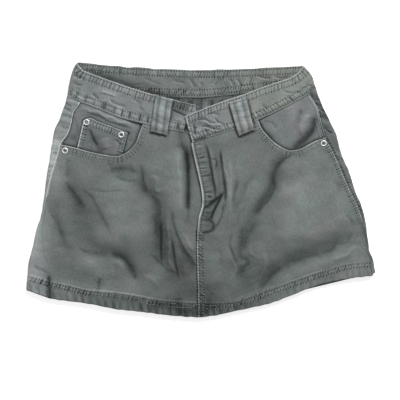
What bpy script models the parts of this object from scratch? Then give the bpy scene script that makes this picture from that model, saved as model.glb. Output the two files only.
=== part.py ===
"""Denim A-line skirt, laid flat on its back.

The skirt is a flattened tube. Its back lies on the surface and its front lies on the back. At both
sides the back rolls over the fold and comes round to the side seam, which lies on the front. The
fly, the scooped hip pockets and the waistband follow five-pocket jeans.

All tables are in millimetres. X runs to the right as seen from the front, Y from the hem to the
waist, and Z up from the surface. "Left" and "right" are as seen from the front. Every piece is a
wall between an outer and an inner grid of points, and the pieces keep a small gap at the seams.
"""

from collections import namedtuple

import bmesh
import bpy
import numpy as np

MM = 0.001

# Thickness of the cloth, and the gap that pieces keep
CLOTH = 1.2
HEM_CLOTH = 2.8
BAND_CLOTH = 2.4
FLY_CLOTH = 1.0
COIN_CLOTH = 1.0
LOOP_CLOTH = 1.5
SEAM_GAP = 0.3
LAYER_GAP = 0.35

# Heights of the outer faces above the surface
SIDE_HEIGHT = 5.6
BODY_HEIGHT = 5.9
HIP_HEIGHT = 7.0
HEM_HEIGHT = 6.5
LOW_HEIGHT = 3.3
FOLD_HEIGHT = 4.6
BAND_BACK_HEIGHT = 1.9
BAND_FRONT_HEIGHT = 7.2
BETWEEN_LAYERS = 3.85

# The fly overlap: the lift of the right front over the left one, and how far each piece reaches
LAP = FLY_CLOTH + CLOTH + 3 * LAYER_GAP
LAP_FULL_Y = -70.0
LAP_LOW_Y = -94.0
LAP_FULL_X = 34.0
LAP_FADE_X = 38.0
UNDERLAP = 14.0
UNDERLAP_ENDS_Y = (-68.0, -56.0)

# The fly facing: its ends, its distance in from the fly's edge, and its head under the waistband
FLY_FACING_ENDS_Y = (-67.0, 76.0)
FLY_FACING_INSET = 1.5
FLY_FACING_HEAD_X = (-14.0, 30.0)
FLY_FACING_HEAD_Y = (75.0, 88.5)

# Pockets, hem and waist
POCKET_UNDERLAP = 12.0
POCKET_EASE = 46.0
FACING_INSET = 0.4
FACING_CORNER_DROP = 1.0
FACING_FOOT_DROP = 3.0
HEM_STEP = 2.5
WAIST_EASE = 36.0
BACK_WAIST_EASE = (85.0, 145.0)
CENTRE_BACK = {"hem": -206.0, "hem_top": -179.0, "yoke": 85.0, "band": 150.0, "top": 196.5}
BACK_TOP_SAG = {"left": 2.5, "right": 1.0}
BAND_TOP_DROP = {"left": 3.0, "right": 1.5}

# Stretches over which the heights change, and the drop of the centre front below the lap
FOLD_REACH = 25.0
SIDE_EASE = 60.0
HEM_EASE = 22.0
HIP_RISE_Y = (10.0, 60.0)
HIP_POCKETS_Y = (25.0, 55.0)
HIP_POCKETS_X = (70.0, 100.0)
HIP_SPARE = 0.6
MIDDLE_X = -3.0
FOLDS_FADE_Y = (90.0, 40.0)
CENTRE_DROP = 2.2
CENTRE_EASE_X = (-60.0, -10.0)
FLY_CROSSING_X = (-8.0, 8.0)
BACK_SIDE_EASE = (12.0, 42.0)
BACK_HEM_EASE = 30.0
FOLD_INSET = 3.0
LEAST_BEND = 0.1

# Grid steps
ROWS_TO_POCKET = 10
ROWS_TO_YOKE = 3
ROWS_OF_YOKE = 2
BACK_COLUMNS = 11
FOLD_STEPS = 4
STRIP_COLUMNS = 2
POCKET_COLUMNS = 12
WAIST_COLUMNS = 9
FACING_COLUMNS = 11
FACING_ROWS = 6
OPENING_SAMPLES = 25
COIN_COLUMNS = 7
COIN_ROWS = 5
FLY_FACING_COLUMNS = 3
FLY_FACING_ROWS = 12
BAND_COLUMNS = 16
BAND_SIDE_COLUMNS = 3
BAND_BACK_COLUMNS = 8
BAND_ROWS = 3
SHARP_ANGLE = 0.7
# Share of the hem below the first stretch of a front panel's top edge
HEM_SHARE = {"left": 0.6, "right": 0.42}

DENIM = (0.190, 0.205, 0.198)
DENIM_INSIDE = (0.150, 0.158, 0.148)
STEEL = (0.62, 0.62, 0.63)

# The folded side, from the hem up: the outermost point, and the side seam on the front
Side = namedtuple("Side", "edge_x edge_y seam_x seam_y")
SIDES = {
    "left": [
        Side(-286.5, -166.0, -247.0, -179.0),
        Side(-284.5, -139.0, -248.5, -150.0),
        Side(-281.0, -112.0, -255.0, -114.0),
        Side(-275.0, -91.0, -258.5, -92.0),
        Side(-270.0, -66.0, -260.5, -67.0),
        Side(-262.0, -41.0, -257.0, -41.0),
        Side(-257.5, -12.0, -252.5, -12.0),
        Side(-253.0, 24.0, -245.0, 23.0),
        Side(-248.0, 49.0, -237.0, 48.0),
        Side(-244.0, 76.5, -229.5, 74.0),
        Side(-241.0, 94.5, -218.0, 91.0),
        Side(-233.0, 114.0, -212.0, 109.0),
        Side(-226.0, 132.0, -209.0, 125.0),
        Side(-219.0, 155.0, -198.0, 143.0),
        Side(-216.0, 173.0, -195.0, 161.0),
        Side(-209.5, 198.0, -193.0, 187.0),
        Side(-203.0, 209.3, -191.0, 195.0),
    ],
    "right": [
        Side(286.5, -137.0, 281.0, -141.5),
        Side(283.0, -114.0, 277.5, -117.0),
        Side(277.5, -102.0, 272.5, -103.0),
        Side(274.5, -79.0, 269.5, -80.0),
        Side(271.0, -53.0, 266.0, -54.0),
        Side(263.0, -24.0, 256.5, -25.0),
        Side(253.0, -1.0, 244.5, -2.0),
        Side(245.0, 27.0, 232.5, 26.0),
        Side(236.5, 46.0, 224.5, 45.0),
        Side(228.5, 66.0, 215.0, 65.0),
        Side(223.5, 88.0, 204.0, 85.0),
        Side(212.0, 113.0, 196.0, 110.0),
        Side(199.5, 138.0, 191.0, 132.0),
        Side(188.0, 170.0, 177.5, 156.0),
        Side(183.0, 186.0, 168.0, 172.0),
        Side(169.0, 203.5, 160.0, 192.0),
    ],
}
# Heights on the folds where the pieces meet
Stops = namedtuple("Stops", "hem hem_top pocket yoke band top")
SIDE_STOPS = {
    "left": Stops(-166.0, -139.0, 76.5, 132.0, 155.0, 209.3),
    "right": Stops(-137.0, -114.0, 88.0, 138.0, 170.0, 203.5),
}

# The front hem, from side to side
Hem = namedtuple("Hem", "x bottom top")
HEM = [
    Hem(-247.0, -179.0, -150.0),
    Hem(-214.0, -183.5, -157.0),
    Hem(-181.5, -187.5, -164.5),
    Hem(-132.5, -197.0, -169.5),
    Hem(-99.5, -200.0, -175.0),
    Hem(-60.0, -205.5, -182.0),
    Hem(-4.5, -209.3, -185.5),
    Hem(23.5, -206.5, -186.5),
    Hem(48.0, -201.5, -185.5),
    Hem(81.0, -194.0, -176.0),
    Hem(113.5, -186.5, -163.0),
    Hem(146.5, -174.5, -151.5),
    Hem(179.0, -161.0, -140.0),
    Hem(212.0, -151.5, -129.5),
    Hem(245.0, -145.5, -120.5),
    Hem(281.0, -141.5, -117.0),
]

# The front waistband, from the side to the centre on the left, from the centre out on the right
Band = namedtuple("Band", "seam_x seam_y top_x top_y")
BAND_LEFT = [
    Band(-198.0, 143.0, -193.0, 195.5),
    Band(-181.5, 137.0, -171.0, 187.0),
    Band(-165.0, 130.5, -149.0, 179.0),
    Band(-132.5, 117.5, -117.0, 168.0),
    Band(-99.5, 109.0, -87.0, 158.5),
    Band(-66.0, 101.0, -52.0, 149.5),
    Band(-21.0, 91.5, -18.0, 141.0),
    Band(-1.0, 87.0, -9.0, 139.0),
]
BAND_RIGHT = [
    Band(-13.5, 76.5, -25.8, 120.0),
    Band(0.5, 81.5, -16.0, 124.0),
    Band(31.5, 90.5, 15.0, 136.6),
    Band(56.0, 98.0, 40.0, 146.0),
    Band(87.0, 111.0, 70.0, 156.0),
    Band(113.5, 122.5, 95.0, 165.8),
    Band(130.0, 130.5, 110.0, 171.0),
    Band(146.5, 139.0, 128.0, 177.0),
    Band(163.0, 148.0, 145.0, 182.5),
    Band(177.5, 156.0, 159.0, 191.0),
]

# The front edge of the fly, which runs on as the centre seam, from the hem up
FLY_EDGE = [
    (-4.5, -209.3), (-4.5, -165.0), (-5.3, -140.0), (-6.2, -91.0), (-5.3, -66.0), (-3.7, -48.0),
    (-0.4, -36.0), (2.0, -26.0), (2.5, -16.0), (0.4, 3.0), (-2.9, 19.0), (-7.0, 37.0),
    (-11.0, 54.0), (-14.4, 70.0), (-15.5, 77.0),
]
# The outer line of the fly facing, from its foot up to the waistband
FLY_FACING_LINE = [
    (13.0, -68.0), (25.0, -63.0), (31.5, -50.0), (39.0, -30.0), (40.5, -14.0), (38.0, 12.0),
    (35.5, 29.0), (33.0, 45.0), (31.5, 65.0), (30.0, 88.0),
]
# The hip pocket openings, from the side seam to the waistband
POCKETS = {
    "left": [
        (-229.5, 74.0), (-207.0, 69.0), (-182.0, 62.0), (-157.0, 57.0), (-137.0, 54.5),
        (-127.0, 58.0), (-118.0, 63.5), (-110.5, 71.5), (-104.5, 81.0), (-100.5, 93.0), (-95.0, 107.5),
    ],
    "right": [
        (204.0, 85.0), (189.0, 80.0), (176.0, 73.5), (166.0, 68.0), (156.0, 65.0), (148.0, 64.0),
        (139.5, 66.0), (130.0, 71.0), (120.0, 78.0), (110.0, 88.0), (100.5, 99.5), (94.0, 113.5),
    ],
}
# The coin pocket's corners, with its lower edge at the hip pocket's opening
COIN_POCKET = {
    "top": [(-192.0, 113.5), (-182.0, 117.5), (-170.0, 112.5), (-149.0, 104.5), (-119.5, 93.0)],
    "bottom": [(-204.5, 61.0), (-180.0, 54.5), (-155.0, 50.5), (-130.5, 50.5)],
}
# Belt loops: the corners from the top left, clockwise
Loop = namedtuple("Loop", "top_left top_right foot_right foot_left")
FRONT_LOOPS = {
    "loop_front_left": Loop((-74.0, 155.5), (-46.5, 146.0), (-55.5, 88.5), (-83.0, 95.5)),
    "loop_front_right": Loop((45.5, 142.0), (73.5, 150.5), (87.5, 98.0), (62.0, 87.0)),
}
BACK_LOOP_PLACES = {"loop_back_left": -112.0, "loop_back_middle": 0.0, "loop_back_right": 104.0}
LOOP_WIDTH = 28.0
LOOP_BELOW_BAND = 8.0
LOOP_BELOW_TOP = 3.0
LOOP_ARCH = 1.6
LOOP_ROWS = 6
RIVETS = {
    "rivet_1": (-187.0, 110.5),
    "rivet_2": (-130.0, 90.0),
    "rivet_3": (-222.5, 64.0),
    "rivet_4": (201.5, 76.0),
}
COIN_RIVETS = ("rivet_1", "rivet_2")
# The rivet's turned profile: radius and height above its seat
RIVET_PROFILE = [(4.75, 0.0), (4.75, 0.5), (3.9, 1.1), (2.2, 0.7), (1.3, 1.2)]
RIVET_SIDES = 12

# The largest folds: a line of points, the half width on each hand of it, and the rise in its middle
Fold = namedtuple("Fold", "line left right rise")
FOLDS = {
    "thigh_left": Fold([(-160, 25), (-140, -30), (-118, -95)], 34, 34, 4.0),
    "thigh_right": Fold([(150, 20), (165, -40), (170, -95)], 46, 46, 4.2),
    "thigh_side_right": Fold([(225, 5), (238, -60)], 24, 24, 1.6),
    "centre_left": Fold([(-45, 70), (-42, 10), (-36, -50)], 15, 13, 2.2),
    "beside_fly_left": Fold([(-23, 78), (-20, 30), (-20, -32)], 8, 8, -2.6),
    "beside_fly_right": Fold([(62, 62), (66, 10), (58, -40)], 22, 22, 1.8),
    "long_left": Fold([(-97, 45), (-93, 5), (-71, -20), (-65, -70), (-48, -145)], 13, 16, -4.0),
    "under_pocket_left": Fold([(-140, 38), (-130, 22), (-108, 22)], 11, 11, -2.2),
    "hip_left": Fold([(-224, 20), (-202, -20), (-198, -70), (-180, -100)], 16, 18, -3.4),
    "side_left": Fold([(-246, -15), (-238, -45), (-227, -95)], 9, 9, -1.4),
    "under_thigh_left": Fold([(-200, -98), (-160, -103), (-126, -109), (-106, -150)], 12, 12, -3.4),
    "low_left": Fold([(-215, -125), (-160, -135)], 20, 16, 1.8),
    "long_right": Fold(
        [(148, 60), (124, 36), (118, -2), (92, -42), (76, -80), (84, -120)], 13, 11, -4.2
    ),
    "under_thigh_right": Fold(
        [(250, -68), (206, -98), (160, -112), (118, -136), (60, -176)], 14, 14, -3.8
    ),
    "low_right": Fold([(235, -105), (190, -128), (150, -148)], 12, 12, 2.0),
    "centre_low": Fold([(18, -100), (22, -165)], 26, 24, 2.0),
    "beside_centre": Fold([(-42, -85), (-26, -112), (-8, -142)], 9, 9, -1.8),
}
FOLD_SAMPLES = 24
FOLD_FADE = 0.22
FOLD_END = 0.35


# ---------------------------------------------------------------- curves


def ramp(share):
    """Smooth step from 0 to 1."""
    share = np.clip(share, 0.0, 1.0)
    return share * share * (3.0 - 2.0 * share)


def between(value, start, end):
    """Smooth step from 0 at the start to 1 at the end, which may lie on either side of it."""
    return ramp((value - start) / (end - start))


def mix(low, high, share):
    return low + (high - low) * share


def soft_max(one, other, ease=0.8):
    """The larger of two values, rounded where they cross."""
    return 0.5 * (one + other + np.sqrt((one - other) ** 2 + ease**2))


def above_zero(value, ease=0.4):
    """The value where it is positive and exactly 0 where it is well below, rounded between."""
    eased = (value + ease) ** 2 / (4.0 * ease)
    return np.where(value > ease, value, np.where(value < -ease, 0.0, eased))


def through(knots, values, at):
    """Smooth curve through the values at the knots that never overshoots them."""
    knots = np.asarray(knots, dtype=float)
    values = np.asarray(values, dtype=float)
    at = np.clip(np.asarray(at, dtype=float), knots[0], knots[-1])
    step = np.diff(knots)
    slope = np.diff(values) / step
    tangent = np.concatenate([slope[:1], 0.5 * (slope[1:] + slope[:-1]), slope[-1:]])
    flat = slope[1:] * slope[:-1] <= 0.0
    harmonic = 2.0 * slope[1:] * slope[:-1] / np.where(flat, 1.0, slope[1:] + slope[:-1])
    tangent[1:-1] = np.where(flat, 0.0, harmonic)
    spot = np.clip(np.searchsorted(knots, at, side="right") - 1, 0, len(step) - 1)
    q = (at - knots[spot]) / step[spot]
    return (
        values[spot] * (1 + 2 * q) * (1 - q) ** 2
        + values[spot + 1] * q * q * (3 - 2 * q)
        + step[spot] * q * (1 - q) * (tangent[spot] * (1 - q) - tangent[spot + 1] * q)
    )


def chord_shares(points):
    """Share of the line's length at each of its points, 0 to 1."""
    lengths = np.hypot(*np.diff(points, axis=0).T)
    total = np.concatenate([[0.0], np.cumsum(lengths)])
    return total / total[-1]


def along(points, shares):
    """Points at the given shares of a smooth line through the given points."""
    points = np.asarray(points, dtype=float)
    knots = chord_shares(points)
    columns = [through(knots, points[:, axis], shares) for axis in (0, 1)]
    return np.stack(columns, axis=-1)


def moved_sideways(points, distance):
    """The line moved by a distance to the left of its direction."""
    points = np.asarray(points, dtype=float)
    run = np.gradient(points, axis=0)
    run /= np.hypot(run[:, 0], run[:, 1])[:, None]
    return points + distance * np.stack([-run[:, 1], run[:, 0]], axis=-1)


def patch(bottom, top, left, right):
    """Grid of points between four edges, given as rows of points that meet at the corners."""
    across = chord_shares(bottom)[None, :, None]
    up = chord_shares(left)[:, None, None]
    ruled_up = mix(bottom[None], top[None], up)
    ruled_across = mix(left[:, None], right[:, None], across)
    corners = mix(mix(bottom[0], bottom[-1], across), mix(top[0], top[-1], across), up)
    return ruled_up + ruled_across - corners


def distance_to_line(x, y, line):
    """Distance to a line, the share along it of its nearest point, and the hand, +1 on its left."""
    knots = along(line, np.linspace(0.0, 1.0, FOLD_SAMPLES))
    best = np.full(np.shape(x), np.inf)
    share = np.zeros(np.shape(x))
    hand = np.ones(np.shape(x))
    for index in range(FOLD_SAMPLES - 1):
        start = knots[index]
        run = knots[index + 1] - start
        length = np.hypot(run[0], run[1])
        q = np.clip(((x - start[0]) * run[0] + (y - start[1]) * run[1]) / length**2, 0.0, 1.0)
        off_x = x - start[0] - q * run[0]
        off_y = y - start[1] - q * run[1]
        away = np.hypot(off_x, off_y)
        nearer = away < best
        best = np.where(nearer, away, best)
        share = np.where(nearer, (index + q) / (FOLD_SAMPLES - 1), share)
        hand = np.where(nearer, np.where(run[0] * off_y - run[1] * off_x >= 0.0, 1.0, -1.0), hand)
    return best, share, hand


# ---------------------------------------------------------------- heights


def column(rows, name):
    return np.array([getattr(row, name) for row in rows])


def side_point(side, edge_y, kind):
    """The fold's outermost point or the side seam's point, at a height on the fold."""
    rows = SIDES[side]
    knots = column(rows, "edge_y")
    names = (kind + "_x", kind + "_y")
    return np.stack([through(knots, column(rows, name), edge_y) for name in names], axis=-1)


def inside_folds(x, y):
    """Distance in from the nearer folded side."""
    left = through(column(SIDES["left"], "edge_y"), column(SIDES["left"], "edge_x"), y)
    right = through(column(SIDES["right"], "edge_y"), column(SIDES["right"], "edge_x"), y)
    return np.minimum(x - left, right - x)


def band_seam_y(x):
    """Height on the front of the waistband's lower edge."""
    left = through(column(BAND_LEFT, "seam_x"), column(BAND_LEFT, "seam_y"), x)
    right = through(column(BAND_RIGHT, "seam_x"), column(BAND_RIGHT, "seam_y"), x)
    return np.where(x < BAND_LEFT[-1].seam_x, left, right)


def hem_y(x, name):
    return through(column(HEM, "x"), column(HEM, name), x)


def lap_share(x, y):
    """1 where the fly overlap lies on the left front and its facing, 0 well away from it."""
    up = between(y, LAP_LOW_Y, LAP_FULL_Y)
    return up * (1.0 - ramp((x - LAP_FULL_X) / LAP_FADE_X))


def fold_relief(x, y):
    """Rise of all the folds together."""
    total = np.zeros(np.shape(x))
    for fold in FOLDS.values():
        away, share, hand = distance_to_line(x, y, fold.line)
        width = np.where(hand > 0, fold.left, fold.right)
        fade = ramp(share / FOLD_FADE) * ramp((1.0 - share) / FOLD_FADE)
        total = total + fold.rise * mix(FOLD_END, 1.0, fade) * np.exp(-((away / width) ** 2))
    return total


def hip_share(x, y):
    """1 over the hip pockets, whose facings lie between the front and the back."""
    return between(y, *HIP_POCKETS_Y) * between(np.abs(x - MIDDLE_X), *HIP_POCKETS_X)


def least_height(x, y):
    """Height of the layers that the front's outer face has under it."""
    edge = 1.0 - ramp(inside_folds(x, y) / FOLD_REACH)
    hem = 1.0 - ramp((y - hem_y(x, "top")) / HEM_EASE)
    least = mix(LOW_HEIGHT, FOLD_HEIGHT, edge)
    least = mix(least, HIP_HEIGHT - HIP_SPARE, hip_share(x, y))
    return mix(least, HEM_HEIGHT, hem)


def front_height(x, y):
    """Height of the front's outer face, without the lift at the fly."""
    inner = ramp(inside_folds(x, y) / SIDE_EASE)
    body = mix(SIDE_HEIGHT, mix(BODY_HEIGHT, HIP_HEIGHT, between(y, *HIP_RISE_Y)), inner)
    centre = lap_share(x, y) * between(x, *CENTRE_EASE_X)
    shape = body - CENTRE_DROP * centre + fold_relief(x, y) * between(y, *FOLDS_FADE_Y)
    height = soft_max(shape, least_height(x, y))
    waist = ramp(1.0 - (band_seam_y(x) - y) / WAIST_EASE)
    return mix(height, BAND_FRONT_HEIGHT, waist)


def right_front_height(x, y):
    return front_height(x, y) + LAP * lap_share(x, y)


def back_height(x, y):
    """Height of the back's outer face, which is its underside."""
    waist = between(y, *BACK_WAIST_EASE)
    over_fly = between(x, *FLY_CROSSING_X)
    top = mix(front_height(x, y), right_front_height(x, y), over_fly)
    spare = above_zero(top - 2 * CLOTH - BETWEEN_LAYERS)
    inner = between(inside_folds(x, y), *BACK_SIDE_EASE) * (1.0 - hip_share(x, y))
    hem = ramp((y - hem_y(x, "top")) / BACK_HEM_EASE)
    return BAND_BACK_HEIGHT * waist + spare * inner * hem * (1.0 - waist)


def facing_height(side, x, y):
    """Height of a pocket facing: below the front where the front covers it, level with it above."""
    under = {"left": CLOTH + COIN_CLOTH, "right": CLOTH}[side] + 2 * LAYER_GAP
    away, _, hand = distance_to_line(x, y, POCKETS[side])
    inside_opening = {"left": 1.0, "right": -1.0}[side]
    clear = np.where(hand == inside_opening, away, 0.0)
    return front_height(x, y) - under * (1.0 - ramp(clear / POCKET_EASE))


# ---------------------------------------------------------------- meshes


def with_height(grid, height):
    return np.concatenate([grid, np.broadcast_to(height, grid.shape[:-1])[..., None]], axis=-1)


def wall(name, outer, inner, material):
    """Closed wall between two grids of points with the same rows and columns."""
    rows, columns = outer.shape[:2]
    points = np.concatenate([outer.reshape(-1, 3), inner.reshape(-1, 3)]) * MM
    count = rows * columns
    faces = []
    for row in range(rows - 1):
        for place in range(columns - 1):
            corner = row * columns + place
            across = corner + columns + 1
            for face in ([corner, corner + 1, across], [corner, across, across - 1]):
                faces.append(face)
                faces.append([count + index for index in reversed(face)])
    rim = list(range(columns))
    rim += [row * columns + columns - 1 for row in range(1, rows)]
    rim += [(rows - 1) * columns + place for place in range(columns - 2, -1, -1)]
    rim += [row * columns for row in range(rows - 2, 0, -1)]
    for here, there in zip(rim, rim[1:] + rim[:1]):
        faces.append([there, here, count + here, count + there])
    mesh = bpy.data.meshes.new(name)
    mesh.from_pydata(points.tolist(), [], faces)
    return finish(name, mesh, material)


def finish(name, mesh, material):
    shape = bmesh.new()
    shape.from_mesh(mesh)
    bmesh.ops.recalc_face_normals(shape, faces=shape.faces)
    shape.to_mesh(mesh)
    shape.free()
    mesh.shade_smooth()
    mesh.set_sharp_from_angle(angle=SHARP_ANGLE)
    mesh.materials.append(material)
    piece = bpy.data.objects.new(name, mesh)
    bpy.context.scene.collection.objects.link(piece)
    return piece


def flat_wall(name, grid, height, thickness, material):
    """Wall whose outer face follows a height function and whose inner face lies straight below it."""
    outer_height = height(grid[..., 0], grid[..., 1])
    outer = with_height(grid, outer_height)
    inner = with_height(grid, outer_height - thickness)
    return wall(name, outer, inner, material)


def folded_rows(side, stops, centre_heights, thicknesses):
    """Outer and inner rows of a piece from the centre back, round the fold, to the side seam."""
    sign = -1.0 if side == "left" else 1.0
    outer_rows = []
    inner_rows = []
    for stop, centre_y, thickness in zip(stops, centre_heights, thicknesses):
        edge = side_point(side, stop, "edge")
        seam = side_point(side, stop, "seam")
        seam[0] += sign * 0.5 * SEAM_GAP
        inset_x = edge[0] - sign * FOLD_INSET
        high = front_height(inset_x, edge[1])
        low = back_height(inset_x, edge[1])
        radius = 0.5 * (high - low)
        turn_x = edge[0] - sign * radius
        shares = np.linspace(0.0, 1.0, BACK_COLUMNS + 1)
        under_x = mix(sign * 0.5 * SEAM_GAP, turn_x, shares)
        under_y = mix(centre_y, edge[1], shares)
        under_z = back_height(under_x, under_y)
        angles = np.linspace(-0.5 * np.pi, 0.5 * np.pi, FOLD_STEPS + 1)[1:-1]
        shares = np.linspace(0.0, 1.0, STRIP_COLUMNS + 1)
        over_x = mix(turn_x, seam[0], shares)
        over_y = mix(edge[1], seam[1], shares)
        over_z = front_height(over_x, over_y)
        over_z[0] = high
        for rows, depth in ((outer_rows, 0.0), (inner_rows, thickness)):
            bend = max(radius - depth, LEAST_BEND)
            round_x = turn_x + sign * bend * np.cos(angles)
            round_z = low + radius + bend * np.sin(angles)
            xs = np.concatenate([under_x, round_x, over_x])
            ys = np.concatenate([under_y, np.full(len(angles), edge[1]), over_y])
            zs = np.concatenate([under_z + depth, round_z, over_z - depth])
            rows.append(np.stack([xs, ys, zs], axis=-1))
    return np.array(outer_rows), np.array(inner_rows)


# ---------------------------------------------------------------- pieces


def back_panel(side, material):
    stops = SIDE_STOPS[side]
    body = np.concatenate([
        np.linspace(stops.hem_top, stops.pocket, ROWS_TO_POCKET + 1),
        np.linspace(stops.pocket, stops.yoke, ROWS_TO_YOKE + 1)[1:],
    ])
    share = (body - body[0]) / (body[-1] - body[0])
    centre_y = mix(CENTRE_BACK["hem_top"], CENTRE_BACK["yoke"], share)
    body[0] += HEM_STEP
    centre_y[0] += HEM_STEP
    heights = np.concatenate([[stops.hem, stops.hem_top], body])
    centre_y = np.concatenate([[CENTRE_BACK["hem"], CENTRE_BACK["hem_top"]], centre_y])
    heights[-1] -= 0.5 * SEAM_GAP
    centre_y[-1] -= 0.5 * SEAM_GAP
    thicknesses = [HEM_CLOTH, HEM_CLOTH] + [CLOTH] * len(body)
    outer, inner = folded_rows(side, heights, centre_y, thicknesses)
    return wall("back_" + side, outer, inner, material)


def yoke(side, material):
    heights = np.linspace(SIDE_STOPS[side].yoke, SIDE_STOPS[side].band, ROWS_OF_YOKE + 1)
    centre_y = np.linspace(CENTRE_BACK["yoke"], CENTRE_BACK["band"], ROWS_OF_YOKE + 1)
    for values in (heights, centre_y):
        values[0] += 0.5 * SEAM_GAP
        values[-1] -= 0.5 * SEAM_GAP
    outer, inner = folded_rows(side, heights, centre_y, [CLOTH] * len(heights))
    return wall("yoke_" + side, outer, inner, material)


def front_side_seam(side):
    """Points of the side seam from hem to pocket, at the back's rows and halfway between them."""
    stops = np.linspace(SIDE_STOPS[side].hem_top, SIDE_STOPS[side].pocket, ROWS_TO_POCKET + 1)
    stops[0] += HEM_STEP
    points = side_point(side, stops, "seam")
    halfway = 0.5 * (points[1:] + points[:-1])
    seam = np.empty((len(points) + len(halfway), 2))
    seam[::2] = points
    seam[1::2] = halfway
    return seam


def waist_line(side, start_x, end_x, steps):
    """Points along the front waistband's lower edge."""
    rows = BAND_LEFT if side == "left" else BAND_RIGHT
    xs = np.linspace(start_x, end_x, steps + 1)
    return np.stack([xs, through(column(rows, "seam_x"), column(rows, "seam_y"), xs)], axis=-1)


def fly_line(heights):
    points = np.array(FLY_EDGE)
    return np.stack([through(points[:, 1], points[:, 0], heights), heights], axis=-1)


def front_top(side):
    """Top edge of a front panel, left to right, and the place in it where pocket and waist meet."""
    pocket = along(POCKETS[side], np.linspace(0.0, 1.0, POCKET_COLUMNS + 1))
    if side == "left":
        waist = waist_line(side, pocket[-1, 0], BAND_LEFT[-1].seam_x, WAIST_COLUMNS)
        return np.concatenate([pocket, waist[1:]]), POCKET_COLUMNS
    waist = waist_line(side, BAND_RIGHT[0].seam_x, pocket[-1, 0], WAIST_COLUMNS)
    return np.concatenate([waist, pocket[::-1][1:]]), WAIST_COLUMNS


def front_grid(side):
    """Grid of a front panel, hem to top, from its left edge to its right edge."""
    top, meeting = front_top(side)
    columns = np.concatenate([
        np.linspace(0.0, HEM_SHARE[side], meeting + 1),
        np.linspace(HEM_SHARE[side], 1.0, len(top) - meeting)[1:],
    ])
    side_seam = front_side_seam(side)
    inward = 0.5 * SEAM_GAP if side == "left" else -0.5 * SEAM_GAP
    side_seam[:, 0] += inward
    bottom_y = hem_y(FLY_EDGE[0][0], "top")
    centre_top = top[-1 if side == "left" else 0, 1]
    centre = fly_line(np.linspace(bottom_y, centre_top, len(side_seam)))
    if side == "left":
        under = between(centre[:, 1], *UNDERLAP_ENDS_Y)
        centre[:, 0] += mix(-0.5 * SEAM_GAP, UNDERLAP, under)
        first_edge, last_edge = side_seam, centre
    else:
        centre[:, 0] += 0.5 * SEAM_GAP
        first_edge, last_edge = centre, side_seam
    low = mix(first_edge[0, 0], last_edge[0, 0], columns)
    hem_top = np.stack([low, hem_y(low, "top")], axis=-1)
    hem_bottom = np.stack([low, hem_y(low, "bottom")], axis=-1)
    outermost = 0 if side == "left" else -1
    hem_bottom[outermost] = side_point(side, SIDE_STOPS[side].hem, "seam") + (inward, 0.0)
    hem_top[outermost] = side_point(side, SIDE_STOPS[side].hem_top, "seam") + (inward, 0.0)
    bottom = hem_top + (0.0, HEM_STEP)
    bottom[outermost] = side_seam[0]
    first_edge[0] = bottom[0]
    last_edge[0] = bottom[-1]
    top = top - (0.0, 0.5 * SEAM_GAP)
    first_edge[-1] = top[0]
    last_edge[-1] = top[-1]
    body = patch(bottom, top, first_edge, last_edge)
    return np.concatenate([[hem_bottom, hem_top], body])


def front_panel(side, material):
    grid = front_grid(side)
    height = front_height if side == "left" else right_front_height
    outer_height = height(grid[..., 0], grid[..., 1])
    thickness = np.full(grid.shape[:2], CLOTH)
    thickness[:2] = HEM_CLOTH
    outer = with_height(grid, outer_height)
    inner = with_height(grid, outer_height - thickness)
    return wall("front_" + side, outer, inner, material)


def fly_facing(material):
    """Facing behind the fly overlap, as wide as its outer stitching."""
    edge = fly_line(np.linspace(*FLY_FACING_ENDS_Y, FLY_FACING_ROWS + 1)) + (FLY_FACING_INSET, 0.0)
    line = along(FLY_FACING_LINE, np.linspace(0.0, 1.0, FLY_FACING_ROWS + 1))
    foot = np.linspace(edge[0], line[0], FLY_FACING_COLUMNS + 1)
    head = np.linspace(edge[-1], line[-1], FLY_FACING_COLUMNS + 1)
    head[:, 1] = np.interp(head[:, 0], FLY_FACING_HEAD_X, FLY_FACING_HEAD_Y)
    edge[-1] = head[0]
    line[-1] = head[-1]
    grid = patch(foot, head, edge, line)

    def height(x, y):
        return right_front_height(x, y) - CLOTH - LAYER_GAP

    return flat_wall("fly_facing", grid, height, FLY_CLOTH, material)


def facing_grid(side):
    """Grid of a pocket facing, from its hidden edge below the opening up to the waistband."""
    away = {"left": -POCKET_UNDERLAP, "right": POCKET_UNDERLAP}[side]
    opening = along(POCKETS[side], np.linspace(0.0, 1.0, OPENING_SAMPLES))
    hidden = along(moved_sideways(opening, away), np.linspace(0.0, 1.0, FACING_COLUMNS + 1))
    sign = 1.0 if side == "left" else -1.0
    stops = SIDE_STOPS[side]
    heights = np.linspace(stops.pocket, stops.band, FACING_ROWS + 1)
    heights = np.concatenate([[stops.pocket - POCKET_UNDERLAP], heights])
    seam = side_point(side, heights, "seam") + (sign * (FACING_INSET + 0.5 * SEAM_GAP), 0.0)
    seam[-1] -= (0.0, FACING_CORNER_DROP)
    hidden[0] = seam[0]
    waist = waist_line(side, seam[-1, 0], hidden[-1, 0], FACING_COLUMNS) - (0.0, FACING_INSET)
    waist[0] = seam[-1]
    inner = np.linspace(hidden[-1] - (0.0, FACING_FOOT_DROP), waist[-1], len(seam))
    hidden[-1] = inner[0]
    if side == "left":
        return patch(hidden, waist, seam, inner)
    return patch(hidden[::-1].copy(), waist[::-1].copy(), inner, seam)


def facing(side, material):
    def height(x, y):
        return facing_height(side, x, y)

    return flat_wall("facing_" + side, facing_grid(side), height, CLOTH, material)


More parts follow.
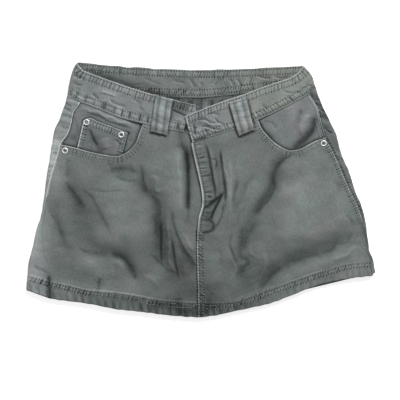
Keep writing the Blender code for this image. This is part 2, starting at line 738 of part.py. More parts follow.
def coin_pocket(material):
    shares = np.linspace(0.0, 1.0, COIN_COLUMNS + 1)
    bottom = along(COIN_POCKET["bottom"], shares)
    top = along(COIN_POCKET["top"], shares)
    left = np.linspace(bottom[0], top[0], COIN_ROWS + 1)
    right = np.linspace(bottom[-1], top[-1], COIN_ROWS + 1)
    grid = patch(bottom, top, left, right)

    def height(x, y):
        return facing_height("left", x, y) + LAYER_GAP + COIN_CLOTH

    return flat_wall("coin_pocket", grid, height, COIN_CLOTH, material)


def waistband(material):
    """One band from its left end, round the back, to its right end, which laps over the left one."""
    outer_rows = []
    inner_rows = []
    for share in np.linspace(0.0, 1.0, BAND_ROWS):
        outer_rows.append(band_row(share, 0.0))
        inner_rows.append(band_row(share, BAND_CLOTH))
    return wall("waistband", np.array(outer_rows), np.array(inner_rows), material)


def band_row(share, depth):
    """Points round the waistband at a share of its height and a depth in from its outer face."""
    angles = np.linspace(0.5 * np.pi, -0.5 * np.pi, FOLD_STEPS + 1)[1:-1]
    radius = 0.5 * (BAND_FRONT_HEIGHT - BAND_BACK_HEIGHT)
    bend = radius - depth
    middle = BAND_BACK_HEIGHT + radius
    lift = 0.5 * SEAM_GAP * (1.0 - share)
    fronts = {}
    folds = {}
    turns = {}
    for side, rows in (("left", BAND_LEFT), ("right", BAND_RIGHT)):
        sign = -1.0 if side == "left" else 1.0
        edge_y = mix(SIDE_STOPS[side].band, SIDE_STOPS[side].top, share)
        front_y = edge_y - BAND_TOP_DROP[side] * share
        around_y = np.linspace(front_y, edge_y, FOLD_STEPS + 1)
        turn_x = side_point(side, around_y, "edge")[:, 0] - sign * radius
        seam = np.stack([column(rows, "seam_x"), column(rows, "seam_y") + lift], axis=-1)
        top = np.stack([column(rows, "top_x"), column(rows, "top_y")], axis=-1)
        flat = along(mix(seam, top, share), np.linspace(0.0, 1.0, BAND_COLUMNS))
        start = np.array([turn_x[0], front_y + lift])
        if side == "left":
            flat = np.concatenate([np.linspace(start, flat[0], BAND_SIDE_COLUMNS)[:-1], flat])
        else:
            flat = np.concatenate([flat, np.linspace(flat[-1], start, BAND_SIDE_COLUMNS)[1:]])
        height = np.full(len(flat), BAND_FRONT_HEIGHT)
        if side == "right":
            height = height + LAP * lap_share(flat[:, 0], flat[:, 1])
        fronts[side] = with_height(flat, height - depth)
        around_x = turn_x[1:-1] + sign * bend * np.cos(angles)
        around_z = middle + bend * np.sin(angles)
        folds[side] = np.stack([around_x, around_y[1:-1] + lift, around_z], axis=-1)
        turns[side] = np.array([turn_x[-1], edge_y + lift])
    centre = np.array([0.0, mix(CENTRE_BACK["band"], CENTRE_BACK["top"], share) + lift])
    behind = []
    for side in ("left", "right"):
        span = np.linspace(turns[side], centre, BAND_BACK_COLUMNS)
        q = np.linspace(0.0, 1.0, BAND_BACK_COLUMNS)
        span[:, 1] -= BACK_TOP_SAG[side] * share * 4.0 * q * (1.0 - q)
        behind.append(with_height(span, BAND_BACK_HEIGHT + depth))
    return np.concatenate([
        fronts["left"][::-1],
        folds["left"],
        behind[0],
        behind[1][::-1][1:],
        folds["right"][::-1],
        fronts["right"][::-1],
    ])


def front_loop(name, material):
    corners = FRONT_LOOPS[name]
    left = np.linspace(corners.foot_left, corners.top_left, LOOP_ROWS + 1)
    right = np.linspace(corners.foot_right, corners.top_right, LOOP_ROWS + 1)
    grid = np.stack([left, 0.5 * (left + right), right], axis=1)
    arch = LOOP_ARCH * np.sin(np.linspace(0.0, np.pi, LOOP_ROWS + 1))[:, None]
    lap = LAP * lap_share(grid[..., 0], grid[..., 1]) if "right" in name else 0.0
    inner_height = BAND_FRONT_HEIGHT + lap + LAYER_GAP + arch
    outer = with_height(grid, inner_height + LOOP_CLOTH)
    inner = with_height(grid, inner_height)
    return wall(name, outer, inner, material)


def back_loop(name, material):
    """Loop pressed flat between the back waistband and the surface."""
    middle = BACK_LOOP_PLACES[name]
    side = "left" if middle < 0.0 else "right"
    stops = SIDE_STOPS[side]
    reach = abs(middle / side_point(side, stops.band, "edge")[0])
    foot = mix(CENTRE_BACK["band"], stops.band, reach) - LOOP_BELOW_BAND
    head = mix(CENTRE_BACK["top"], stops.top, reach) - LOOP_BELOW_TOP
    xs = middle + np.array([-0.5, 0.0, 0.5]) * LOOP_WIDTH
    ys = np.linspace(foot, head, LOOP_ROWS)
    grid = np.stack(np.meshgrid(xs, ys), axis=-1)
    outer = with_height(grid, 0.0)
    inner = with_height(grid, LOOP_CLOTH)
    return wall(name, outer, inner, material)


def rivet(name, material):
    """Turned rivet, seated on the highest cloth under its rim."""
    x, y = RIVETS[name]
    reach = RIVET_PROFILE[0][0]
    around_x = x + reach * np.array([0.0, 1.0, -1.0, 0.0, 0.0])
    around_y = y + reach * np.array([0.0, 0.0, 0.0, 1.0, -1.0])
    if name in COIN_RIVETS:
        seat = facing_height("left", around_x, around_y) + LAYER_GAP + COIN_CLOTH
    else:
        seat = front_height(around_x, around_y)
    seat_height = float(np.max(seat)) + SEAM_GAP
    angles = np.linspace(0.0, 2.0 * np.pi, RIVET_SIDES, endpoint=False)
    circle = np.stack([np.cos(angles), np.sin(angles)], axis=-1)
    shape = bmesh.new()
    rings = []
    for radius, height in RIVET_PROFILE:
        points = with_height(radius * circle, height) * MM
        rings.append([shape.verts.new(point) for point in points])
    for low, high in zip(rings, rings[1:]):
        for index in range(RIVET_SIDES):
            after = (index + 1) % RIVET_SIDES
            shape.faces.new((low[index], low[after], high[after], high[index]))
    shape.faces.new(rings[0][::-1])
    shape.faces.new(rings[-1])
    mesh = bpy.data.meshes.new(name)
    shape.to_mesh(mesh)
    shape.free()
    piece = finish(name, mesh, material)
    piece.location = (x * MM, y * MM, seat_height * MM)
    return piece


def surface_material(name, colour, roughness, metallic):
    material = bpy.data.materials.new(name)
    material.use_nodes = True
    shader = material.node_tree.nodes["Principled BSDF"]
    shader.inputs["Base Color"].default_value = (*colour, 1.0)
    shader.inputs["Roughness"].default_value = roughness
    shader.inputs["Metallic"].default_value = metallic
    return material


def main():
    for item in list(bpy.data.objects):
        bpy.data.objects.remove(item)
    denim = surface_material("denim", DENIM, 0.9, 0.0)
    inside = surface_material("denim_inside", DENIM_INSIDE, 0.9, 0.0)
    steel = surface_material("steel", STEEL, 0.35, 1.0)
    for side in ("left", "right"):
        back_panel(side, denim)
        yoke(side, denim)
        front_panel(side, denim)
        facing(side, denim)
    fly_facing(inside)
    coin_pocket(denim)
    waistband(denim)
    for name in FRONT_LOOPS:
        front_loop(name, denim)
    for name in BACK_LOOP_PLACES:
        back_loop(name, denim)
    for name in RIVETS:
        rivet(name, steel)


main()
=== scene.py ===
"""Looks of the denim A-line skirt, laid flat on its back.

All tables are in millimetres, in the frame of the CAD part: X to the right as seen from the front,
Y from the hem to the waist, Z up from the surface. The tables of outlines and heights repeat the
part's own. Each piece of cloth is a fine shell on its solid's form, with the folds, the puckers
along the seams and the worn edges worked into it, and the stitches are rows of small threads.
"""

import math
from collections import namedtuple
from functools import partial

import bpy
import numpy as np
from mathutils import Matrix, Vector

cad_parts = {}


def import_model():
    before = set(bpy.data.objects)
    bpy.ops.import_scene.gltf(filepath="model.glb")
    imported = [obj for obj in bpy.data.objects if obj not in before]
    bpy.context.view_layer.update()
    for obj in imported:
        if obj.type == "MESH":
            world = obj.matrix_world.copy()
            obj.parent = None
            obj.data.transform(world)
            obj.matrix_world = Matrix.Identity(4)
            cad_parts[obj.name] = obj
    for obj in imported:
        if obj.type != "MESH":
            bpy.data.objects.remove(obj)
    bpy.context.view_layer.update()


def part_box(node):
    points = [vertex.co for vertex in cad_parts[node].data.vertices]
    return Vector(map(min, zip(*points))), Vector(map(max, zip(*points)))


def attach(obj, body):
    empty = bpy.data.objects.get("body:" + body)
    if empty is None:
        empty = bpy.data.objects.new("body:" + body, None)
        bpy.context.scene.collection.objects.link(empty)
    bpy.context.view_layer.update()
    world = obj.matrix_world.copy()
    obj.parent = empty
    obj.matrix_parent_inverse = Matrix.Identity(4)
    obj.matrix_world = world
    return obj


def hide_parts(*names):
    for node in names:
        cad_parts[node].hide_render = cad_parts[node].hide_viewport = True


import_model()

MM = 0.001
SIGN = {"left": -1.0, "right": 1.0}

# Thickness of the cloth, and the gaps that pieces keep
CLOTH = 1.2
HEM_CLOTH = 2.8
BAND_CLOTH = 2.4
FLY_CLOTH = 1.0
COIN_CLOTH = 1.0
LOOP_CLOTH = 1.5
SEAM_GAP = 0.06
LAYER_GAP = 0.35

# Heights of the outer faces above the surface, and the layers that they have under them
SIDE_HEIGHT = 5.6
BODY_HEIGHT = 5.9
HIP_HEIGHT = 7.0
HEM_HEIGHT = 6.5
LOW_HEIGHT = 2.9
FOLD_HEIGHT = 4.6
BAND_BACK_HEIGHT = 1.9
BAND_FRONT_HEIGHT = 7.2
BETWEEN_LAYERS = 3.85
HIP_SPARE = 0.6
CENTRE_DROP = 2.2

# Where one height turns into the next
SIDE_EASE = 60.0
FOLD_REACH = 25.0
HEM_EASE = 22.0
WAIST_EASE = 36.0
HIP_RISE_Y = (10.0, 60.0)
HIP_POCKETS_Y = (25.0, 55.0)
HIP_POCKETS_X = (70.0, 100.0)
MIDDLE_X = -3.0
CENTRE_EASE_X = (-60.0, -10.0)
FOLDS_FADE_Y = (90.0, 40.0)
FLY_CROSSING_X = (-8.0, 8.0)
BACK_SIDE_EASE = (12.0, 42.0)
BACK_HEM_EASE = 30.0
BACK_WAIST_EASE = (85.0, 145.0)
BACK_FOLD_SHARE = 0.85

# The fly overlap: the lift of the right front over the left one, and how far each piece reaches
LAP = FLY_CLOTH + CLOTH + 3 * LAYER_GAP
LAP_RISE_Y = (-94.0, -70.0)
LAP_FALL_X = (34.0, 72.0)
UNDERLAP = 14.0
UNDERLAP_ENDS_Y = (-68.0, -56.0)
FLY_FACING_Y = (-67.0, 76.0)
FLY_FACING_INSET = 1.5
FLY_FACING_HEAD = ((-14.0, 30.0), (75.0, 88.5))

# Pockets, hem, waist and folded sides
POCKET_UNDERLAP = 12.0
POCKET_EASE = 46.0
FACING_CREASE_EASE = 10.0
FACING_SIDE_GAP = 0.2
FACING_INSET = 0.4
FACING_FOOT_DROP = 3.0
FACING_HEAD_DROP = 1.0
HEM_STEP = 2.5
FOLD_INSET = 3.0
LEAST_BEND = 0.1
CENTRE_BACK = {"hem": -206.0, "hem_top": -179.0, "yoke": 85.0, "band": 150.0, "top": 196.5}
BACK_TOP_SAG = {"left": 2.5, "right": 1.0}
BAND_TOP_DROP = {"left": 3.0, "right": 1.5}
# Below the first of these heights the left side seam is closed and level, as it doesn't show there
CLOSED_SEAM_Y = (-20.0, -40.0)
CLOSED_GAP = 0.02
FLUSH_LIFT = 0.5
# Share of the hem below the first stretch of a front panel's top edge, from its left
HEM_SHARE = {"left": 0.6, "right": 0.42}

# Grid steps of the shells
HEM_ROWS = 28
BODY_ROWS = 230
POCKET_COLUMNS = 112
WAIST_COLUMNS = 100
BACK_COLUMNS = 74
BACK_ROWS = 160
YOKE_ROWS = 30
TURN_STEPS = 10
STRIP_COLUMNS = 26
FACING_COLUMNS = 110
FACING_ROWS = 84
COIN_COLUMNS = 90
COIN_ROWS = 72
FLY_FACING_COLUMNS = 16
FLY_FACING_ROWS = 60
BAND_ROWS = 56
BAND_COLUMNS = 186
BAND_BACK_COLUMNS = 130
LOOP_ROWS = 46
LOOP_COLUMNS = 22
COARSE_STEP = 5
LINE_SAMPLES = 24
LONG_LINE_SAMPLES = 90

# The folded side, from the hem up: the outermost point, and the side seam on the front
Side = namedtuple("Side", "edge_x edge_y seam_x seam_y")
SIDES = {
    "left": [
        Side(-286.5, -166.0, -247.0, -179.0),
        Side(-284.5, -139.0, -248.5, -150.0),
        Side(-281.0, -112.0, -255.0, -114.0),
        Side(-275.0, -91.0, -258.5, -92.0),
        Side(-270.0, -66.0, -260.5, -67.0),
        Side(-262.0, -41.0, -257.0, -41.0),
        Side(-257.5, -12.0, -252.5, -12.0),
        Side(-253.0, 24.0, -245.0, 23.0),
        Side(-248.0, 49.0, -237.0, 48.0),
        Side(-244.0, 76.5, -229.5, 74.0),
        Side(-241.0, 94.5, -218.0, 91.0),
        Side(-233.0, 114.0, -212.0, 109.0),
        Side(-226.0, 132.0, -209.0, 125.0),
        Side(-219.0, 155.0, -198.0, 143.0),
        Side(-216.0, 173.0, -195.0, 161.0),
        Side(-209.5, 198.0, -193.0, 187.0),
        Side(-203.0, 209.3, -191.0, 195.0),
    ],
    "right": [
        Side(286.5, -137.0, 281.0, -141.5),
        Side(283.0, -114.0, 277.5, -117.0),
        Side(277.5, -102.0, 272.5, -103.0),
        Side(274.5, -79.0, 269.5, -80.0),
        Side(271.0, -53.0, 266.0, -54.0),
        Side(263.0, -24.0, 256.5, -25.0),
        Side(253.0, -1.0, 244.5, -2.0),
        Side(245.0, 27.0, 232.5, 26.0),
        Side(236.5, 46.0, 224.5, 45.0),
        Side(228.5, 66.0, 215.0, 65.0),
        Side(223.5, 88.0, 204.0, 85.0),
        Side(212.0, 113.0, 196.0, 110.0),
        Side(199.5, 138.0, 191.0, 132.0),
        Side(188.0, 170.0, 177.5, 156.0),
        Side(183.0, 186.0, 168.0, 172.0),
        Side(169.0, 203.5, 160.0, 192.0),
    ],
}
SIDE_STOPS = {
    "left": {"hem": -166.0, "hem_top": -139.0, "pocket": 76.5, "yoke": 132.0, "band": 155.0, "top": 209.3},
    "right": {"hem": -137.0, "hem_top": -114.0, "pocket": 88.0, "yoke": 138.0, "band": 170.0, "top": 203.5},
}

# The front hem, from side to side
Hem = namedtuple("Hem", "x bottom top")
HEM = [
    Hem(-247.0, -179.0, -150.0),
    Hem(-214.0, -183.5, -157.0),
    Hem(-181.5, -187.5, -164.5),
    Hem(-132.5, -197.0, -169.5),
    Hem(-99.5, -200.0, -175.0),
    Hem(-60.0, -205.5, -182.0),
    Hem(-4.5, -209.3, -185.5),
    Hem(23.5, -206.5, -186.5),
    Hem(48.0, -201.5, -185.5),
    Hem(81.0, -194.0, -176.0),
    Hem(113.5, -186.5, -163.0),
    Hem(146.5, -174.5, -151.5),
    Hem(179.0, -161.0, -140.0),
    Hem(212.0, -151.5, -129.5),
    Hem(245.0, -145.5, -120.5),
    Hem(281.0, -141.5, -117.0),
]

# The front waistband, from the side to the centre on the left, from the centre out on the right
Band = namedtuple("Band", "seam_x seam_y top_x top_y")
BAND_LEFT = [
    Band(-198.0, 143.0, -193.0, 195.5),
    Band(-181.5, 137.0, -171.0, 187.0),
    Band(-165.0, 130.5, -149.0, 179.0),
    Band(-132.5, 117.5, -117.0, 168.0),
    Band(-99.5, 109.0, -87.0, 158.5),
    Band(-66.0, 101.0, -52.0, 149.5),
    Band(-21.0, 91.5, -18.0, 141.0),
    Band(-1.0, 87.0, -9.0, 139.0),
]
BAND_RIGHT = [
    Band(-13.5, 76.5, -25.8, 120.0),
    Band(0.5, 81.5, -16.0, 124.0),
    Band(31.5, 90.5, 15.0, 136.6),
    Band(56.0, 98.0, 40.0, 146.0),
    Band(87.0, 111.0, 70.0, 156.0),
    Band(113.5, 122.5, 95.0, 165.8),
    Band(130.0, 130.5, 110.0, 171.0),
    Band(146.5, 139.0, 128.0, 177.0),
    Band(163.0, 148.0, 145.0, 182.5),
    Band(177.5, 156.0, 159.0, 191.0),
]

# The front edge of the fly, which runs on as the centre seam, from the hem up
FLY_EDGE = [
    (-4.5, -209.3), (-4.5, -165.0), (-5.3, -140.0), (-6.2, -91.0), (-5.3, -66.0), (-3.7, -48.0),
    (-0.4, -36.0), (2.0, -26.0), (2.5, -16.0), (0.4, 3.0), (-2.9, 19.0), (-7.0, 37.0),
    (-11.0, 54.0), (-14.4, 70.0), (-15.5, 77.0),
]
# The outer line of the fly facing, from its foot up to the waistband
FLY_FACING_LINE = [
    (13.0, -68.0), (25.0, -63.0), (31.5, -50.0), (39.0, -30.0), (40.5, -14.0), (38.0, 12.0),
    (35.5, 29.0), (33.0, 45.0), (31.5, 65.0), (30.0, 88.0),
]
# The hip pocket openings, from the side seam to the waistband
POCKETS = {
    "left": [
        (-229.5, 74.0), (-207.0, 69.0), (-182.0, 62.0), (-157.0, 57.0), (-137.0, 54.5),
        (-127.0, 58.0), (-118.0, 63.5), (-110.5, 71.5), (-104.5, 81.0), (-100.5, 93.0), (-95.0, 107.5),
    ],
    "right": [
        (204.0, 85.0), (189.0, 80.0), (176.0, 73.5), (166.0, 68.0), (156.0, 65.0), (148.0, 64.0),
        (139.5, 66.0), (130.0, 71.0), (120.0, 78.0), (110.0, 88.0), (100.5, 99.5), (94.0, 113.5),
    ],
}
# The coin pocket's corners, with its lower edge at the hip pocket's opening
COIN_POCKET = {
    "top": [(-192.0, 113.5), (-182.0, 117.5), (-170.0, 112.5), (-149.0, 104.5), (-119.5, 93.0)],
    "bottom": [(-204.5, 61.0), (-180.0, 54.5), (-155.0, 50.5), (-130.5, 50.5)],
}
# Belt loops: the corners from the top left, clockwise
Loop = namedtuple("Loop", "top_left top_right foot_right foot_left")
FRONT_LOOPS = {
    "loop_front_left": Loop((-74.0, 155.5), (-46.5, 146.0), (-55.5, 88.5), (-83.0, 95.5)),
    "loop_front_right": Loop((45.5, 142.0), (73.5, 150.5), (87.5, 98.0), (62.0, 87.0)),
}
BACK_LOOP_PLACES = {"loop_back_left": -112.0, "loop_back_middle": 0.0, "loop_back_right": 104.0}
LOOP_WIDTH = 28.0
LOOP_BELOW_BAND = 8.0
LOOP_BELOW_TOP = 3.0
LOOP_ARCH = 0.96
LOOP_SPARE = 0.4

# Folds: a line of points, the half width on each hand of it, and the rise in its middle
Fold = namedtuple("Fold", "line left right rise")
# Lines that a crease shares with its painted shade: along the fly and at its foot, and by the end of the
# band; and the wavy puff of the left facing along the waistband, which carries painted light too
FLY_INNER = [(7, 79), (11, 65), (14, 52), (16.5, 36), (19, 19), (22, 4), (25, -14)]
FLY_HOOK = [(15.5, -50), (20.5, -58), (18, -65)]
FLY_BOX = [(16, 50), (23, 50), (26, 44), (25, 34)]
BAND_END_CREASE = [(-47, 131), (-34, 126), (-22, 120)]
FACING_PUFF = [
    (-198, 134), (-188, 133), (-178, 127), (-168, 127), (-158, 120), (-146, 118), (-134, 111),
    (-122, 110), (-108, 104),
]
# The main folds, which the solids have too
FOLDS = {
    "thigh_left": Fold([(-160, 25), (-140, -30), (-118, -95)], 34, 34, 4.0),
    "thigh_right": Fold([(150, 20), (165, -40), (170, -95)], 46, 46, 4.2),
    "thigh_side_right": Fold([(225, 5), (238, -60)], 24, 24, 1.6),
    "centre_left": Fold([(-45, 70), (-42, 10), (-36, -50)], 15, 13, 2.2),
    "beside_fly_left": Fold([(-23, 78), (-20, 30), (-20, -32)], 8, 8, -2.6),
    "beside_fly_right": Fold([(62, 62), (66, 10), (58, -40)], 22, 22, 1.8),
    "long_left": Fold([(-97, 45), (-93, 5), (-71, -20), (-65, -70), (-48, -145)], 13, 16, -4.0),
    "under_pocket_left": Fold([(-140, 38), (-130, 22), (-108, 22)], 11, 11, -2.2),
    "hip_left": Fold([(-224, 20), (-202, -20), (-198, -70), (-180, -100)], 16, 18, -3.4),
    "side_left": Fold([(-246, -15), (-238, -45), (-227, -95)], 9, 9, -1.4),
    "under_thigh_left": Fold([(-200, -98), (-160, -103), (-126, -109), (-106, -150)], 12, 12, -3.4),
    "low_left": Fold([(-215, -125), (-160, -135)], 20, 16, 1.8),
    "long_right": Fold([(148, 60), (124, 36), (118, -2), (92, -42), (76, -80), (84, -120)], 13, 11, -4.2),
    "under_thigh_right": Fold([(250, -68), (206, -98), (160, -112), (118, -136), (60, -176)], 14, 14, -3.8),
    "low_right": Fold([(235, -105), (190, -128), (150, -148)], 12, 12, 2.0),
    "centre_low": Fold([(18, -100), (22, -165)], 26, 24, 2.0),
    "beside_centre": Fold([(-42, -85), (-26, -112), (-8, -142)], 9, 9, -1.8),
}
FOLD_END = 0.35
# The narrower creases, which only the cloth of this scene has
CREASES = {
    "hip_upper": Fold([(-219, 54), (-221, 30), (-222, 12)], 8, 3, -1.2),
    "hip_bend": Fold([(-224, 14), (-215, 5), (-206, -6), (-197, -22), (-192, -34)], 3, 7, -2.1),
    "thigh_edge": Fold([(-197, 6), (-178, -16), (-166, -40), (-154, -62), (-147, -76)], 3, 14, -1.4),
    "thigh_line": Fold([(-188, -1), (-160, -3), (-114, -3)], 2.5, 3.5, -0.5),
    "pocket_drop": Fold([(-149, 44), (-146, 24)], 5, 6, -1.1),
    "pocket_shade": Fold([(-150, 36), (-128, 30), (-104, 32)], 8, 8, -1.1),
    "pocket_bend": Fold([(-143, 24), (-128, 14), (-112, 12), (-100, 16)], 4, 5, -1.4),
    "pocket_stripe": Fold([(-118, 44), (-110, 30), (-100, 24)], 4, 4, -0.8),
    "long_top": Fold([(-98, 42), (-95, 20), (-90, 4), (-84, -8)], 2.6, 6, -2.4),
    "long_bend": Fold([(-84, -6), (-72, -14), (-66, -26), (-66, -48)], 3, 6, -2.2),
    "long_shelf": Fold([(-76, 26), (-74, 2), (-66, -8)], 7, 7, 1.6),
    "long_slit": Fold([(-64, -48), (-65, -84), (-64, -124)], 1.8, 2.6, -2.4),
    "long_slit_right": Fold([(-48, -80), (-43, -114), (-36, -148)], 2.0, 3.0, -2.2),
    "long_scribble": Fold([(-78, -44), (-74, -62), (-80, -78)], 3, 3, -1.0),
    "long_ridge": Fold([(-56, -30), (-54, -70), (-52, -107), (-42, -141)], 3.0, 3.4, 1.4),
    "long_branch": Fold([(-50, -30), (-41, -71), (-31, -91), (-17, -113), (-8, -128)], 2.2, 5, -2.2),
    "beside_branch": Fold([(-30, -70), (-22, -90), (-9, -104)], 4, 4, 1.0),
    "long_diagonal": Fold([(-84, -104), (-66, -122), (-50, -134), (-37, -142)], 3, 6, -1.3),
    "long_lens": Fold([(-98, -142), (-82, -150), (-70, -164)], 8, 8, 1.0),
    "fly_gutter": Fold([(-25, 80), (-22.5, 44), (-19.5, 18), (-18.5, -12), (-20, -44)], 4.4, 8, -1.5),
    "fly_gutter_bank": Fold([(-39, 72), (-36, 10), (-33, -40)], 6, 7, 1.5),
    "side_edge": Fold([(-255, -17), (-244, -42), (-235, -60), (-224, -88)], 9, 4, -1.4),
    "arc_left": Fold([(-203, -93), (-186, -101), (-166, -103), (-148, -103)], 3, 9, -1.5),
    "arc_mid": Fold([(-152, -103), (-134, -106), (-122, -114), (-110, -134), (-102, -153)], 4.2, 7, -2.8),
    "arc_lens": Fold([(-152, -116), (-136, -122), (-126, -136)], 7, 7, 0.8),
    "hem_dimple": Fold([(-166, -144), (-168, -168)], 3.4, 3.6, -1.8),
    "hem_dimple_right": Fold([(-141, -120), (-142, -142)], 3, 3, -0.8),
    "side_hem": Fold([(-277, -125), (-268, -129), (-260, -132), (-252, -141)], 3, 4, -1.2),
    "pocket_right_in": Fold([(160, 62), (147, 56), (130, 41), (120, 27)], 3, 8, -2.0),
    "long_right_top": Fold([(121, 32), (121, 9), (117, -6), (101, -28), (91, -47)], 3.4, 9, -2.6),
    "long_right_low": Fold([(93, -42), (82, -62), (74, -84), (68, -108)], 8, 8, -1.4),
    "mid_slit": Fold([(51, -68), (48, -88), (53, -110), (57, -128)], 2.6, 3.4, -1.7),
    "mid_light": Fold([(45, -108), (56, -126), (53, -141), (42, -160)], 3, 3, 1.1),
    "mid_hollow": Fold([(72, -58), (64, -84), (66, -106), (74, -120), (68, -136), (56, -152)], 7, 7, -1.7),
    "mid_lobe": Fold([(82, -84), (79, -100), (90, -111), (104, -110)], 4, 4, 1.0),
    "mid_ridge": Fold([(99, -98), (105, -122), (98, -142), (76, -157)], 4.0, 3.6, 1.4),
    "mid_line": Fold([(64, -138), (80, -131), (96, -121)], 2.4, 3.4, -0.6),
    "low_side": Fold([(252, -68), (241, -85), (220, -94), (198, -109)], 8, 5, -1.2),
    "low_mid": Fold([(200, -108), (176, -112), (150, -118), (132, -127)], 8, 5, -1.2),
    "low_deep": Fold([(136, -124), (122, -136), (112, -146), (92, -166)], 5, 10, -2.3),
    "low_foot": Fold([(94, -164), (70, -172), (44, -180)], 5, 6, -1.6),
    "low_right_bank": Fold([(262, -92), (238, -106), (214, -116)], 6, 6, 1.2),
    "beside_j": Fold([(60, 16), (56, 0), (54, -24), (48, -40)], 4.0, 4.8, -1.1),
    "beside_j_low": Fold([(78, -8), (64, -42), (50, -66)], 6, 6, -1.0),
    "beside_fly_line": Fold([(56, 60), (52, 34)], 4, 4, -0.6),
    "side_right_soft": Fold([(238, -40), (252, -62)], 6, 6, -1.0),
    "hip_right_soft": Fold([(212, 40), (222, 12), (230, -14)], 7, 7, -0.7),
    "centre_soft": Fold([(28, -96), (36, -130)], 6, 6, -0.8),
    "fly_foot_cross": Fold([(33, -12), (20, -21), (5, -31)], 2.0, 2.6, -1.8),
    "fly_foot_long": Fold([(36, -5), (29, -20), (22, -35), (15.5, -50)], 2.0, 2.4, -2.6),
    "fly_foot_facet": Fold([(22, -26), (10, -40)], 5, 5, 1.0),
    "fly_foot_bank": Fold([(38, -38), (30, -52), (24, -60)], 4, 4, 1.0),
    "fly_foot_block": Fold([(4, -49), (15, -50)], 2.4, 2.4, -0.9),
    "fly_foot_inner": Fold(FLY_HOOK, 2.0, 2.4, -1.6),
    "fly_box": Fold(FLY_BOX, 2.2, 2.2, -0.8),
    "fly_inner": Fold(FLY_INNER, 2.0, 2.8, -1.9),
    "fly_inner_bank": Fold([(11, 79), (18, 52), (23, 19), (28, -8)], 3.0, 3.0, 0.8),
    "fly_outer": Fold([(32, 68), (33.5, 45), (36, 29), (38.5, 12), (40.5, -8), (40, -20)], 1.6, 2.6, -1.6),
    "fly_outer_bank": Fold([(37, 62), (40, 30), (44, -2), (44, -26)], 3.5, 3.5, 1.1),
    "fly_outer_foot": Fold([(40, -20), (36, -38), (28, -56), (18, -66), (6, -70)], 2.4, 2.4, -0.7),
}
